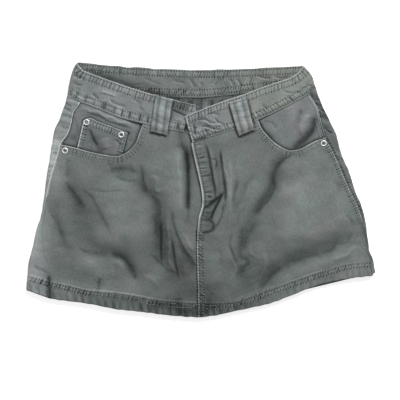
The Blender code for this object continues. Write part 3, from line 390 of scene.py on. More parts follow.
# Painted shade along creases and folds, painted shadows beside the fly, the belt loops and the lapped end
# of the band, and a few lines of painted light, each with a tone as the rise
SHADES = {
    "gutter": Fold([(-21.5, 66), (-19.5, 12), (-19.5, -36)], 3.4, 6.5, -0.25),
    "gutter_top": Fold([(-34, 100), (-30, 82), (-26, 60), (-21, 26)], 7, 8, -0.17),
    "gutter_foot": Fold([(-19, -10), (-23, -58)], 6, 7, -0.08),
    "long_left": Fold([(-97, 40), (-93, 5), (-72, -20), (-66, -70), (-52, -140)], 8, 12, -0.09),
    "long_between": Fold([(-60, -60), (-40, -110), (-20, -150)], 12, 12, -0.09),
    "long_slit": Fold([(-64, -56), (-65, -86), (-64, -120)], 1.8, 2.8, -0.14),
    "long_slit_right": Fold([(-47, -84), (-42, -118), (-36, -148)], 2.0, 3.4, -0.12),
    "long_branch": Fold([(-36, -86), (-24, -106), (-8, -126)], 2.4, 5, -0.14),
    "long_deep": Fold([(-70, -50), (-72, -90), (-66, -124)], 9, 12, -0.06),
    "arc_mid": Fold([(-150, -103), (-134, -106), (-122, -114), (-108, -138)], 7, 10, -0.15),
    "hip": Fold([(-219, 9), (-207, -6), (-196, -26)], 4, 10, -0.10),
    "side_edge": Fold([(-240, -50), (-226, -80), (-208, -104)], 10, 8, -0.08),
    "long_right": Fold([(146, 56), (128, 42), (118, 10), (98, -24), (84, -46)], 5, 12, -0.11),
    "mid_hollow": Fold([(72, -58), (64, -84), (66, -106), (74, -120), (62, -146)], 11, 11, -0.07),
    "low_right": Fold([(252, -68), (204, -100), (144, -116), (104, -150), (50, -178)], 12, 12, -0.05),
    "fly_band": Fold([(-2, 76), (6, 34), (13, -8), (12, -64)], 9, 9, -0.035),
    "fly_between": Fold([(22, 66), (28, 20), (32, -14)], 7, 7, -0.07),
    "fly_inner": Fold(FLY_INNER, 2.0, 2.8, -0.28),
    "fly_outer": Fold([(32, 66), (33.5, 45), (36, 29), (38.5, 12), (40.5, -8), (40, -20)], 1.8, 2.6, -0.30),
    "fly_outer_foot": Fold([(40, -20), (36, -38), (29, -54), (19, -66), (5, -70)], 2.4, 2.4, -0.20),
    "fly_foot_long": Fold([(37, -3), (29, -20), (22, -35), (15.5, -50)], 2.3, 2.6, -0.40),
    "fly_foot_wedge": Fold([(32, -13), (16, -29)], 5, 5, -0.16),
    "fly_foot_cross": Fold([(35, -8), (21, -19), (5, -31)], 2.4, 3.2, -0.30),
    "fly_foot_block": Fold([(2, -48.5), (15, -50)], 2.0, 2.0, -0.24),
    "fly_foot": Fold([(14, -26), (12, -66)], 12, 12, -0.10),
    "fly_foot_hem": Fold([(23, -63), (13, -69), (3, -70)], 2.0, 2.4, -0.26),
    "fly_foot_inner": Fold(FLY_HOOK, 1.8, 2.2, -0.24),
    "fly_outer_low": Fold([(38.5, 16), (41, -2), (40, -18)], 2.4, 3.2, -0.18),
    "fly_box": Fold(FLY_BOX, 2.2, 2.2, -0.12),
    "fly_centre": Fold([(14, 30), (17, 6)], 4, 4, -0.10),
    "fly_right_arc": Fold([(60, 20), (57, 4), (54, -20)], 3.4, 5, -0.10),
    "fly_right_streak": Fold([(92, 30), (78, 12), (68, -10), (58, -34)], 4, 8, -0.09),
    "fly_right_light": Fold([(48, 50), (50, 12), (49, -40)], 3, 4, 0.09),
    "loop_left_side": Fold([(-44.5, 148), (-53.5, 87)], 2.6, 2.0, -0.32),
    "loop_left_foot": Fold([(-85, 93.5), (-54, 86.5)], 2.0, 2.2, -0.30),
    "loop_right_side": Fold([(75.5, 151), (89.5, 97)], 2.6, 2.0, -0.32),
    "loop_right_foot": Fold([(62, 85), (90, 96)], 2.0, 2.2, -0.30),
    "loop_right_inner": Fold([(44, 142), (60, 88)], 1.4, 1.8, -0.20),
    "lap_top": Fold([(-48, 143), (-32, 138), (-17, 132)], 12, 10, -0.24),
    "lap_corner": Fold([(-36, 145), (-20, 141), (-8, 138)], 4, 4, -0.22),
    "lap_crease": Fold(BAND_END_CREASE, 2.0, 3.4, -0.26),
    "lap_foot": Fold([(-46, 103), (-30, 99), (-14, 94)], 7, 7, -0.16),
    "right_end": Fold([(-16, 112), (2, 108), (18, 110)], 10, 10, -0.08),
    "right_end_foot": Fold([(-13, 78.5), (0, 83), (10, 86)], 2.4, 2.8, -0.34),
    "band_fold_left": Fold([(-214, 178), (-204, 168), (-196, 164)], 4, 5, -0.12),
    "hem_centre": Fold([(-110, -190), (-60, -194), (0, -198), (50, -194)], 14, 14, -0.15),
    "hem_blot": Fold([(-38, -176), (-30, -206)], 7, 7, -0.14),
    "hem_blot_right": Fold([(12, -176), (10, -206)], 7, 7, -0.12),
    "hem_seam": Fold([(-248, -140), (-247.5, -158), (-246, -182)], 4.6, 4.6, -0.36),
    "hem_spot": Fold([(-166, -147), (-168, -170)], 3.6, 3.6, -0.14),
    "right_edge": Fold([(264, -48), (271, -78), (280, -118)], 2.5, 3.5, -0.12),
}
# Painted shadow that the front of the waistband casts on the inside of its back
INSIDE_SHADES = {
    "left": Fold(
        [(-192, 198), (-171, 190), (-149, 182), (-117, 171), (-87, 161), (-52, 152), (-18, 143)], 9, 4, -0.30
    ),
    "right": Fold([(30, 146), (70, 159), (110, 174), (150, 188)], 5, 5, -0.12),
}
# Creases of the pocket facings
FACING_CREASES = {
    "right_crescent": Fold([(187, 124), (184, 106), (177, 91), (165, 79), (148, 69)], 6, 9, -1.5),
    "right_lobe": Fold([(178, 126), (172, 106), (160, 90)], 8, 9, 1.5),
    "right_fold": Fold([(168, 131), (162, 118), (157, 104)], 4, 5, -1.1),
    "right_top": Fold([(100, 110), (116, 108), (128, 100)], 5, 5, -0.9),
    "left_side": Fold([(-206, 122), (-204, 98), (-212, 76)], 4, 5, -0.9),
    "left_band_puff": Fold(FACING_PUFF, 2.6, 2.6, 0.5),
    "left_under_band": Fold(
        [(-194, 127), (-180, 123), (-166, 119), (-150, 109), (-133, 105), (-110, 97)], 2.6, 3.4, -1.2
    ),
    "left_end": Fold([(-114, 96), (-116, 76)], 4, 4, -1.2),
    "coin_fold": Fold([(-184, 102), (-178, 84), (-168, 68)], 3.5, 5, -2.0),
    "coin_puff": Fold([(-156, 86), (-150, 66)], 10, 10, 1.4),
    "coin_corner": Fold([(-138, 84), (-132, 66)], 4, 4, -1.4),
    "coin_cross": Fold([(-176, 72), (-160, 62), (-144, 58)], 4, 4, -0.8),
}
# Painted shade, and a little painted light, on the pocket facings and on the coin pocket
FACING_SHADES = {
    "crescent": Fold([(190, 122), (187, 106), (180, 90), (167, 77), (148, 68)], 5.0, 7, -0.32),
    "fold": Fold([(168, 131), (162, 118), (157, 102)], 5, 6, -0.10),
    "right_start": Fold([(98, 112), (104, 98), (118, 82)], 7, 6, -0.16),
    "left_end": Fold([(-106, 98), (-112, 82), (-124, 68)], 5, 5, -0.10),
    "left_start": Fold([(-214, 88), (-206, 84), (-204, 72)], 6, 6, -0.16),
    "over_coin": Fold([(-192, 124), (-168, 118), (-140, 107), (-112, 97)], 4, 5, -0.10),
    "band_puff": Fold(FACING_PUFF, 2.6, 2.6, 0.15),
}
COIN_SHADES = {
    "inner": Fold([(-178, 88), (-168, 74), (-160, 62)], 10, 10, -0.14),
    "top": Fold([(-186, 109), (-154, 101), (-124, 93)], 4, 5, 0.08),
    "right": Fold([(-130, 90), (-138, 64)], 4, 6, 0.06),
    "corner": Fold([(-190, 66), (-176, 64)], 7, 7, -0.08),
}
# Wrinkles of the waistband in front, and of its inside behind
BAND_WRINKLES = {
    "left_one": Fold([(-178, 158), (-166, 147)], 3, 4, -1.2),
    "left_two": Fold([(-152, 148), (-138, 141), (-122, 136)], 3, 3, -1.2),
    "left_three": Fold([(-205, 160), (-190, 150), (-176, 146)], 3, 3, -1.0),
    "left_four": Fold([(-210, 178), (-196, 166)], 3, 3, -0.9),
    "left_five": Fold([(-112, 150), (-98, 140)], 3, 3, -0.7),
    "left_six": Fold([(-166, 162), (-150, 156), (-138, 150)], 4, 4, 1.0),
    "left_seven": Fold([(-104, 134), (-92, 128)], 3, 3, -0.6),
    "fold_one": Fold([(-210, 190), (-200, 184), (-190, 184)], 2.4, 2.4, -1.0),
    "fold_two": Fold([(-212, 176), (-202, 171), (-192, 171)], 2.4, 2.4, -0.9),
    "lap_end": Fold(BAND_END_CREASE, 2.0, 3.4, -1.1),
    "lap_puff": Fold([(-46, 118), (-34, 112), (-22, 108)], 5, 5, 0.7),
    "right_one": Fold([(100, 140), (112, 132)], 3, 3, -0.8),
    "right_two": Fold([(134, 160), (150, 158), (166, 160)], 3, 3, -0.9),
    "right_three": Fold([(8, 120), (20, 124), (32, 120)], 2.4, 2.4, -1.0),
    "right_side": Fold([(-12, 110), (-11, 98), (-7, 86)], 2.0, 2.4, -1.5),
    "right_upper": Fold([(-7, 112), (6, 114), (20, 109), (33, 111)], 2.0, 2.4, -1.4),
    "right_upper_light": Fold([(-4, 107), (8, 109), (20, 104.5), (34, 106)], 2.0, 2.0, 0.5),
    "right_lower": Fold([(-5, 101), (8, 103.5), (22, 99), (36, 99)], 2.0, 2.2, -1.6),
    "right_lower_light": Fold([(-2, 95), (10, 98), (24, 94), (42, 100)], 2.0, 2.0, 0.4),
    "right_crinkle": Fold([(22, 118), (30, 110), (40, 106)], 2.0, 2.0, -1.1),
    "right_fold": Fold([(168, 170), (178, 176), (186, 186)], 3, 4, -1.0),
    "right_fold_low": Fold([(160, 162), (172, 168), (184, 172)], 2.0, 2.4, -1.1),
}
INSIDE_WRINKLES = {
    "one": Fold([(-18, 183), (-12, 174), (-7, 166)], 2.4, 2.6, -0.9),
    "two": Fold([(-1, 177), (4, 169)], 2.4, 3.0, -0.8),
    "three": Fold([(20, 171), (26, 178), (32, 185)], 2.2, 2.8, -1.2),
    "four": Fold([(34, 172), (40, 180), (44, 186)], 2.6, 2.6, 0.9),
    "five": Fold([(48, 183), (52, 176), (56, 168)], 2.2, 2.4, -1.1),
    "six": Fold([(61, 183), (64, 176), (67, 168)], 2.4, 2.4, -1.0),
    "seven": Fold([(84, 186), (81, 178), (78, 168)], 2.4, 2.6, -1.0),
    "eight": Fold([(92, 188), (104, 184), (117, 182)], 2.6, 2.6, -1.0),
    "nine": Fold([(-46, 182), (-36, 176), (-24, 174)], 3.0, 3.0, -0.7),
    "ten": Fold([(-96, 186), (-78, 178), (-62, 172)], 3.5, 3.5, -0.6),
    "eleven": Fold([(66, 172), (74, 178), (78, 186)], 2.6, 2.6, 0.8),
    "twelve": Fold([(120, 188), (132, 184), (144, 184)], 3.0, 3.0, -0.8),
}
# Where the back, lifted off the surface by its slack, comes down to it in soft folds
BACK_FOLDS = {
    "left_long": Fold([(-150, 60), (-120, 10), (-96, -50), (-90, -110)], 5, 9, 1.0),
    "left_short": Fold([(-200, -20), (-176, -60), (-140, -84)], 5, 7, 0.9),
    "middle_left": Fold([(-40, 60), (-34, 10), (-48, -60)], 5, 8, 0.8),
    "middle_right": Fold([(46, 40), (30, -10), (34, -70), (60, -120)], 6, 8, 0.9),
    "right_long": Fold([(130, 70), (150, 10), (160, -60)], 5, 9, 1.0),
    "right_short": Fold([(216, -30), (196, -74), (150, -100)], 6, 7, 0.8),
}
# Short creases of the strips beside the hips
STRIP_CREASES = {
    "left_one": Fold([(-224, 146), (-216, 139), (-210, 136)], 1.6, 2.0, -0.7),
    "left_two": Fold([(-226, 140), (-218, 133), (-211, 130)], 1.6, 2.0, -0.6),
    "left_three": Fold([(-228, 106), (-221, 102), (-215, 103)], 1.8, 2.4, -0.4),
    "left_four": Fold([(-238, 88), (-230, 84), (-222, 87)], 1.8, 2.4, -0.35),
    "left_five": Fold([(-243, 62), (-236, 60), (-230, 63)], 1.8, 2.4, -0.6),
    "right_one": Fold([(196, 134), (203, 128), (212, 122)], 1.8, 2.4, -0.8),
    "right_two": Fold([(202, 104), (209, 96), (217, 92)], 1.8, 2.4, -0.7),
    "right_three": Fold([(208, 70), (215, 60), (222, 58)], 1.8, 2.4, -0.7),
}
# The felled seam at the centre back and the folds beside it, as seen through the waist
YOKE_CREASES = {
    "fell_left": Fold([(-1, 146), (-1, 128)], 1.6, 2.4, -1.0),
    "fell": Fold([(8, 148), (8, 128)], 5, 5, 0.7),
    "fell_right": Fold([(18, 148), (18, 130)], 2.4, 1.6, -0.9),
    "shade": Fold([(-20, 146), (-14, 138)], 5, 5, -1.0),
    "left": Fold([(-44, 148), (-36, 142)], 5, 5, -0.6),
}


# ---------------------------------------------------------------- curves and noise

# Noise along a line or over the cloth: the length of its steps, its seed, and how much it adds or takes
Noise = namedtuple("Noise", "step seed amount")
TUCK_JITTER = 0.22
TUCK_JITTER_PACE = 0.9
TUCK_DEPTHS = Noise(1.0 / 0.47, 1, 0.25)
PUFF = 0.36
TUCK_SHARPNESS = 6
NOISE_STEPS = 1024
MOTTLE_CELLS = 64
# Crumples of the cloth after washing, from large to small, and the slant of the larger two
CRUMPLES = (Noise(31.0, 0, 0.30), Noise(13.0, 1, 0.14), Noise(5.5, 2, 0.05))
CRUMPLE_SLANT = (0.8, 0.6)
# Faint creases lie where a bent noise crosses 0, and they show in patches: the bends, how far they
# shift the noise upwards, the noise's size, the creases' width in it, and the patches with their middle
FAINT_BENDS = Noise(37.0, 0, 10.0)
FAINT_BENDS_Y = 0.7
FAINT_SIZE = 22.0
FAINT_WIDTH = 0.13
FAINT_PATCHES = Noise(45.0, 2, 1.3)
FAINT_PATCH_MIDDLE = 0.35


def ramp(share):
    """Smooth step from 0 to 1."""
    share = np.clip(share, 0.0, 1.0)
    return share * share * (3.0 - 2.0 * share)


def between(value, low, high):
    """Smooth step from 0 at one value to 1 at another."""
    return ramp((value - low) / (high - low))


def mix(low, high, share):
    return low + (high - low) * share


def bell(distance, width):
    return np.exp(-((distance / width) ** 2))


def soft_max(one, other, ease=0.8):
    """The larger of two values, rounded where they cross."""
    return 0.5 * (one + other + np.sqrt((one - other) ** 2 + ease**2))


def above_zero(value, ease=0.4):
    """The value where it is positive and exactly 0 where it is well below, rounded between."""
    eased = (value + ease) ** 2 / (4.0 * ease)
    return np.where(value > ease, value, np.where(value < -ease, 0.0, eased))


def through(knots, values, at):
    """Smooth curve through the values at the knots that never overshoots them."""
    knots = np.asarray(knots, dtype=float)
    values = np.asarray(values, dtype=float)
    at = np.clip(np.asarray(at, dtype=float), knots[0], knots[-1])
    step = np.diff(knots)
    slope = np.diff(values) / step
    tangent = np.concatenate([slope[:1], 0.5 * (slope[1:] + slope[:-1]), slope[-1:]])
    flat = slope[1:] * slope[:-1] <= 0.0
    harmonic = 2.0 * slope[1:] * slope[:-1] / np.where(flat, 1.0, slope[1:] + slope[:-1])
    tangent[1:-1] = np.where(flat, 0.0, harmonic)
    spot = np.clip(np.searchsorted(knots, at, side="right") - 1, 0, len(step) - 1)
    q = (at - knots[spot]) / step[spot]
    return (
        values[spot] * (1 + 2 * q) * (1 - q) ** 2
        + values[spot + 1] * q * q * (3 - 2 * q)
        + step[spot] * q * (1 - q) * (tangent[spot] * (1 - q) - tangent[spot + 1] * q)
    )


def column(rows, name):
    return np.array([getattr(row, name) for row in rows])


def curve(rows, across, value, at):
    """Smooth curve of one column of a table over another."""
    return through(column(rows, across), column(rows, value), at)


def run_lengths(points):
    """Length of the line up to each of its points."""
    lengths = np.sqrt((np.diff(points, axis=0) ** 2).sum(axis=-1))
    return np.concatenate([[0.0], np.cumsum(lengths)])


def length_of(line):
    return run_lengths(line)[-1]


def chord_shares(points):
    total = run_lengths(points)
    return total / total[-1]


def along(points, shares):
    """Points at the given shares of a smooth line through the given points."""
    points = np.asarray(points, dtype=float)
    knots = chord_shares(points)
    return np.stack([through(knots, values, shares) for values in points.T], axis=-1)


def sideways(run):
    """Unit steps to the left of the given steps."""
    run = run / np.hypot(run[:, 0], run[:, 1])[:, None]
    return np.stack([-run[:, 1], run[:, 0]], axis=-1)


def patch(bottom, top, left, right):
    """Grid of points between four edges, given as rows of points that meet at the corners."""
    across = chord_shares(bottom)[None, :, None]
    up = chord_shares(left)[:, None, None]
    ruled_up = mix(bottom[None], top[None], up)
    ruled_across = mix(left[:, None], right[:, None], across)
    corners = mix(mix(bottom[0], bottom[-1], across), mix(top[0], top[-1], across), up)
    return ruled_up + ruled_across - corners


def even(steps):
    return np.linspace(0.0, 1.0, steps + 1)


def graded(steps, ease):
    """Shares from 0 to 1 whose steps are finer at both ends."""
    share = even(steps)
    return share - ease * np.sin(2.0 * np.pi * share) / (2.0 * np.pi)


def finer_at_start(steps):
    """Shares from 0 to 1 whose steps grow from half their mean to one and a half times."""
    share = even(steps)
    return 0.5 * (share + share**2)


def from_line(x, y, line, samples=LINE_SAMPLES):
    """Distance to a line, the share along it of its nearest point, and which hand of it, +1 on the left."""
    knots = along(line, even(samples - 1))
    best = np.full(np.shape(x), np.inf)
    share = np.zeros(np.shape(x))
    hand = np.ones(np.shape(x))
    for index, (start, run) in enumerate(zip(knots, np.diff(knots, axis=0))):
        length = np.hypot(run[0], run[1])
        q = np.clip(((x - start[0]) * run[0] + (y - start[1]) * run[1]) / length**2, 0.0, 1.0)
        off_x = x - start[0] - q * run[0]
        off_y = y - start[1] - q * run[1]
        away = np.hypot(off_x, off_y)
        nearer = away < best
        best = np.where(nearer, away, best)
        share = np.where(nearer, (index + q) / (samples - 1), share)
        hand = np.where(nearer, np.where(run[0] * off_y - run[1] * off_x >= 0.0, 1.0, -1.0), hand)
    return best, share, hand


def near_line(x, y, line, reach):
    """Which points lie in the line's box, widened by a reach."""
    low = np.min(line, axis=0) - reach
    high = np.max(line, axis=0) + reach
    return (x > low[0]) & (x < high[0]) & (y > low[1]) & (y < high[1])


def uneven(t, seed):
    """Smooth noise along a line, -1 to 1, with a new height at each whole step of t."""
    values = np.random.RandomState(seed).uniform(-1.0, 1.0, NOISE_STEPS)
    low = np.floor(t).astype(int)
    return mix(values[low % NOISE_STEPS], values[(low + 1) % NOISE_STEPS], ramp(t - low))


def seeded(noise, base):
    """The same noise with its seed counted up from a base."""
    return noise._replace(seed=base + noise.seed)


def wavering(run, noise):
    """The given noise along a line."""
    return noise.amount * uneven(run / noise.step, noise.seed)


def varied(run, noise):
    """A factor that varies along a line between 1 and 1 less twice the noise's amount."""
    return 1.0 - noise.amount + wavering(run, noise)


def tucks(run, seed):
    """Puffs of cloth along a stitched row with narrow tucks between them, PUFF down to -1."""
    place = run + TUCK_JITTER * uneven(TUCK_JITTER_PACE * run, seed)
    deep = varied(run, seeded(TUCK_DEPTHS, seed))
    return PUFF - (1.0 + PUFF) * deep * np.abs(np.cos(np.pi * place)) ** TUCK_SHARPNESS


def mottled(x, y, size, seed):
    """Smooth noise over the cloth, -1 to 1, with patches of the given size."""
    values = np.random.RandomState(seed).uniform(-1.0, 1.0, (MOTTLE_CELLS, MOTTLE_CELLS))
    low_x = np.floor(x / size).astype(int)
    low_y = np.floor(y / size).astype(int)
    share_x = ramp(x / size - low_x)
    rows = []
    for row in (low_y % MOTTLE_CELLS, (low_y + 1) % MOTTLE_CELLS):
        rows.append(mix(values[row, low_x % MOTTLE_CELLS], values[row, (low_x + 1) % MOTTLE_CELLS], share_x))
    return mix(rows[0], rows[1], ramp(y / size - low_y))


def clouded(x, y, noise):
    """The given noise over the cloth."""
    return noise.amount * mottled(x, y, noise.step, noise.seed)


def crumple(x, y, seed):
    """Small unevenness of the cloth after washing, in millimetres."""
    slanted = CRUMPLE_SLANT[0] * x + CRUMPLE_SLANT[1] * y
    large, middling, small = (seeded(noise, seed) for noise in CRUMPLES)
    return clouded(slanted, y, large) + clouded(x, slanted, middling) + clouded(x, y, small)


def faint_creases(x, y, seed):
    """Thin creases of the cloth after washing, 0 to 1, in loose patches."""
    bend = clouded(x, y, seeded(FAINT_BENDS, seed))
    lines = mottled(x + bend, y + FAINT_BENDS_Y * bend, FAINT_SIZE, seed + 1)
    patches = ramp(FAINT_PATCH_MIDDLE + clouded(x, y, seeded(FAINT_PATCHES, seed)))
    return bell(lines, FAINT_WIDTH) * patches


# ---------------------------------------------------------------- heights

# How many of its widths a fold reaches
BOX_REACH = 2.8
# Folds waver sideways and vary in depth over steps of their length, and creases have a sharp core
DRIFT_STEP = 13.0
DRIFT_SEED = 900
LUMP_STEP = 17.0
LUMP_SEED = 960
LUMPS = 0.5
CORE_WIDTH = 0.42
CREASE_CORE = 0.45
CREASE_SWAY = 0.5
CRUMPLE_SEED = 11
FAINT_SEED = 15
FAINT_DEPTH = 0.12


def side_point(side, edge_y, kind):
    """The fold's outermost point or the side seam's point, at a height on the fold."""
    return np.stack([curve(SIDES[side], "edge_y", kind + axis, edge_y) for axis in ("_x", "_y")], axis=-1)


def inside_folds(x, y):
    """Distance in from the nearer folded side."""
    left, right = (curve(rows, "edge_y", "edge_x", y) for rows in SIDES.values())
    return np.minimum(x - left, right - x)


def band_seam_y(x):
    """Height on the front of the waistband's lower edge."""
    left, right = (curve(rows, "seam_x", "seam_y", x) for rows in (BAND_LEFT, BAND_RIGHT))
    return np.where(x < BAND_LEFT[-1].seam_x, left, right)


def hem_y(x, name):
    return curve(HEM, "x", name, x)


def lap_share(x, y):
    """1 where the fly overlap lies on the left front and its facing, 0 well away from it."""
    return between(y, *LAP_RISE_Y) * (1.0 - between(x, *LAP_FALL_X))


def relief(x, y, folds, end=0.0, fade=0.22, core=0.0, sway=0.0):
    """Rise of all the given folds together. A core makes them sharper, and sway less even."""
    total = np.zeros(np.shape(x))
    for index, fold in enumerate(folds.values()):
        near = near_line(x, y, fold.line, BOX_REACH * max(fold.left, fold.right))
        if not near.any():
            continue
        away, share, hand = from_line(x[near], y[near], fold.line)
        run = share * length_of(fold.line)
        drift = sway * min(fold.left, fold.right) * uneven(run / DRIFT_STEP, DRIFT_SEED + index)
        across = away * hand - drift
        width = np.where(across > 0.0, fold.left, fold.right)
        ends = ramp(share / fade) * ramp((1.0 - share) / fade)
        lumps = 1.0 + sway * LUMPS * uneven(run / LUMP_STEP, LUMP_SEED + index)
        shape = mix(bell(across, width), bell(across, CORE_WIDTH * width), core)
        total[near] += fold.rise * mix(end, 1.0, ends) * lumps * shape
    return total


def creases(x, y, folds):
    """Rise of the narrower creases, which waver and have a sharp bottom."""
    return relief(x, y, folds, core=CREASE_CORE, sway=CREASE_SWAY)


def hip_share(x, y):
    """1 over the hip pockets, whose facings lie between the front and the back."""
    return between(y, *HIP_POCKETS_Y) * between(np.abs(x - MIDDLE_X), *HIP_POCKETS_X)


def least_height(x, y):
    """Height of the layers that the front's outer face has under it."""
    edge = 1.0 - ramp(inside_folds(x, y) / FOLD_REACH)
    hem = 1.0 - ramp((y - hem_y(x, "top")) / HEM_EASE)
    least = mix(LOW_HEIGHT, FOLD_HEIGHT, edge)
    least = mix(least, HIP_HEIGHT - HIP_SPARE, hip_share(x, y))
    return mix(least, HEM_HEIGHT, hem)


def front_height(x, y, creased=True, lap=0.0):
    """Height of the front's outer face, with a share of the lift that the fly overlap has."""
    x, y = np.atleast_1d(x, y)
    inner = ramp(inside_folds(x, y) / SIDE_EASE)
    body = mix(SIDE_HEIGHT, mix(BODY_HEIGHT, HIP_HEIGHT, between(y, *HIP_RISE_Y)), inner)
    centre = lap_share(x, y) * between(x, *CENTRE_EASE_X)
    folds = relief(x, y, FOLDS, FOLD_END)
    if creased:
        folds = folds + creases(x, y, CREASES) + crumple(x, y, CRUMPLE_SEED)
        folds = folds - FAINT_DEPTH * faint_creases(x, y, FAINT_SEED)
    shape = body - CENTRE_DROP * centre + folds * between(y, *FOLDS_FADE_Y)
    height = soft_max(shape, least_height(x, y))
    waist = ramp(1.0 - (band_seam_y(x) - y) / WAIST_EASE)
    return mix(height, BAND_FRONT_HEIGHT, waist) + lap * LAP * lap_share(x, y)


def back_height(x, y):
    """Height of the back's outer face, which is its underside."""
    waist = between(y, *BACK_WAIST_EASE)
    top = front_height(x, y, creased=False, lap=between(x, *FLY_CROSSING_X))
    spare = above_zero(top - 2 * CLOTH - BETWEEN_LAYERS)
    inner = between(inside_folds(x, y), *BACK_SIDE_EASE) * (1.0 - hip_share(x, y))
    hem = ramp((y - hem_y(x, "top")) / BACK_HEM_EASE)
    settled = 1.0 - BACK_FOLD_SHARE * np.clip(relief(x, y, BACK_FOLDS), 0.0, 1.0)
    return BAND_BACK_HEIGHT * waist + spare * settled * inner * hem * (1.0 - waist)


def facing_height(side, x, y):
    """Height of a pocket facing: below the front where the front covers it, level with it above."""
    under = {"left": CLOTH + COIN_CLOTH, "right": CLOTH}[side] + 2 * LAYER_GAP
    away, _, hand = from_line(x, y, POCKETS[side])
    clear = np.where(hand == -SIGN[side], away, 0.0)
    low = under * (1.0 - ramp(clear / POCKET_EASE))
    return front_height(x, y) - low + creases(x, y, FACING_CREASES) * ramp(clear / FACING_CREASE_EASE)


# ---------------------------------------------------------------- stitched edges

# What a face of cloth shows: its height or rise, its tone, the distance to the nearest stitch row
# and the place along that row, counted in stitches
Face = namedtuple("Face", "height tone away run")
FAR = 99.0
# A stitched edge: the hand on which its rows lie, their distances from it, the lift of the cloth
# there, the depth of each row, the height, period and slant of the puckers, the tone along the edge
# (lighter where rubbed, with painted highlight on some, painted shade where below 0), a seed, the width
# of that tone, and how clearly the needle holes show
Trim = namedtuple(
    "Trim",
    "line hand rows lift groove pucker period skew wear seed width holes",
    defaults=(1.1, 1.0),
)
STITCH_PITCH = 4.4
ROW_WIDTH = 1.3
# Painted shade along the groove of each stitched row
ROW_TONE = 0.10
ROW_TONE_WIDTH = 1.1
EDGE_EASE = 0.9
EDGE_BOX = 12.0
LIFT_BEYOND = 0.8
LIFT_EASE = 2.6
PUCKER_SPARE = 2.2
# How much painted light and shade the puckers give the tone
PUCKER_TONE = 0.46
# Noise along a stitched edge, counted in its puckers: ripples between them, where they are weaker, how
# dark the painted shade along its rows is and how strong the tone along its edge is. That edge tone is
# strongest at this share of its width
EDGE_NOISE = (
    Noise(1.0 / 2.3, 4, 0.4),
    Noise(2.7, 1, 0.2),
    Noise(1.0 / 1.3, 5, 0.3),
    Noise(1.7, 3, 0.25),
)
EDGE_TONE_PLACE = 0.4
# Its shares on the puffs, as painted light, and in the tucks, as painted shade
PUFF_SHARE = 0.55
TUCK_SHARE = 1.3
HOLE_AWAY = 1.6


def plain(tone):
    """A face with no stitches."""
    return Face(0.0, tone, FAR, 0.0)


def stitch_count(line):
    return max(int(length_of(line) / STITCH_PITCH), 2)


def trim_relief(trim, across, run):
    """Rise and tone at distances from a stitched edge and places along it, counted in its puckers."""
    first, last = min(trim.rows), max(trim.rows)
    ripples, patches, shades, rubs = (seeded(noise, trim.seed) for noise in EDGE_NOISE)
    ridge = ramp(across / EDGE_EASE + 1.0) * (1.0 - ramp((across - last - LIFT_BEYOND) / LIFT_EASE))
    waves = tucks(run + trim.skew * across / trim.period, trim.seed) + wavering(run, ripples)
    off_middle = (across - 0.5 * (first + last)) / (0.5 * (last - first) + PUCKER_SPARE)
    waves = varied(run, patches) * waves * np.exp(-(off_middle**4))
    rise = trim.lift * ridge + trim.pucker * waves
    # Painted light on the puffs and painted shade in the tucks, then painted shade along each row
    tone = PUCKER_TONE * trim.pucker * np.where(waves > 0.0, PUFF_SHARE, TUCK_SHARE) * waves
    shade = ROW_TONE * varied(run, shades)
    for row in trim.rows:
        rise = rise - trim.groove * bell(across - row, ROW_WIDTH)
        tone = tone - shade * bell(across - row, ROW_TONE_WIDTH)
    # Tone along the edge: lighter where rubbed, with painted highlight on the brightest edges, and painted
    # shade where below 0
    edge_tone = trim.wear * varied(run, rubs) * bell(across - EDGE_TONE_PLACE * trim.width, trim.width)
    return rise, tone + edge_tone


def trimmed(x, y, trims):
    """Rise and tone that the stitched edges give the cloth, and where their stitches lie."""
    face = Face(*(np.full(np.shape(x), value) for value in (0.0, 0.0, FAR, 0.0)))
    for trim in trims:
        near = near_line(x, y, trim.line, max(trim.rows) + EDGE_BOX)
        if not near.any():
            continue
        away, share, hand = from_line(x[near], y[near], trim.line, LONG_LINE_SAMPLES)
        across = away * hand * trim.hand
        beside = (share > 0.0) & (share < 1.0)
        rise, tone = trim_relief(trim, across, share * length_of(trim.line) / trim.period)
        face.height[near] += rise * beside
        face.tone[near] += tone * beside
        to_row = np.min([np.abs(across - row) for row in trim.rows], axis=0) + HOLE_AWAY * (1.0 - trim.holes)
        closer = beside & (to_row < face.away[near])
        face.away[near] = np.where(closer, to_row, face.away[near])
        face.run[near] = np.where(closer, share * stitch_count(trim.line), face.run[near])
    return face


def seam_of(side, low=-math.inf):
    """The side seam in front, from a height up."""
    return [(row.seam_x, row.seam_y) for row in SIDES[side] if row.seam_y >= low]


def fly_edge(low=-math.inf, high=math.inf):
    """The part of the fly's edge between two heights."""
    return [point for point in FLY_EDGE if low <= point[1] <= high]


HEM_TOP_LINE = [(row.x, row.top) for row in HEM]
# The hem's top line on the strips of the back that come round to the front
HEM_STRIPS = {
    "left": [(-286.0, -138.6), (-266.0, -144.0), (-247.0, -150.0)],
    "right": [(281.0, -117.0), (286.0, -113.5)],
}
FLY_OUTER_LINE = [(31.5, 84), (32, 65), (33.5, 45), (36, 29), (38.5, 12), (40.5, -13), (38.5, -31)]
FLY_FOOT_LINE = [(40.5, -13), (38.5, -31), (31.5, -50), (25, -62), (16, -68), (4, -70)]
# The side seams, whose stitches show above these heights, and the fly's edge sewn double below its foot
SEAM_SHOWS_Y = {"left": -20.0, "right": -56.0}
SHOWN_SEAM = {side: seam_of(side, low) for side, low in SEAM_SHOWS_Y.items()}
FLY_FOOT_Y = -60.0
COIN_TOP = COIN_POCKET["top"]
COIN_RIGHT = [(-119.5, 93.0), (-130.5, 50.5)]
COIN_LEFT = [(-204.5, 61.0), (-192.0, 113.5)]
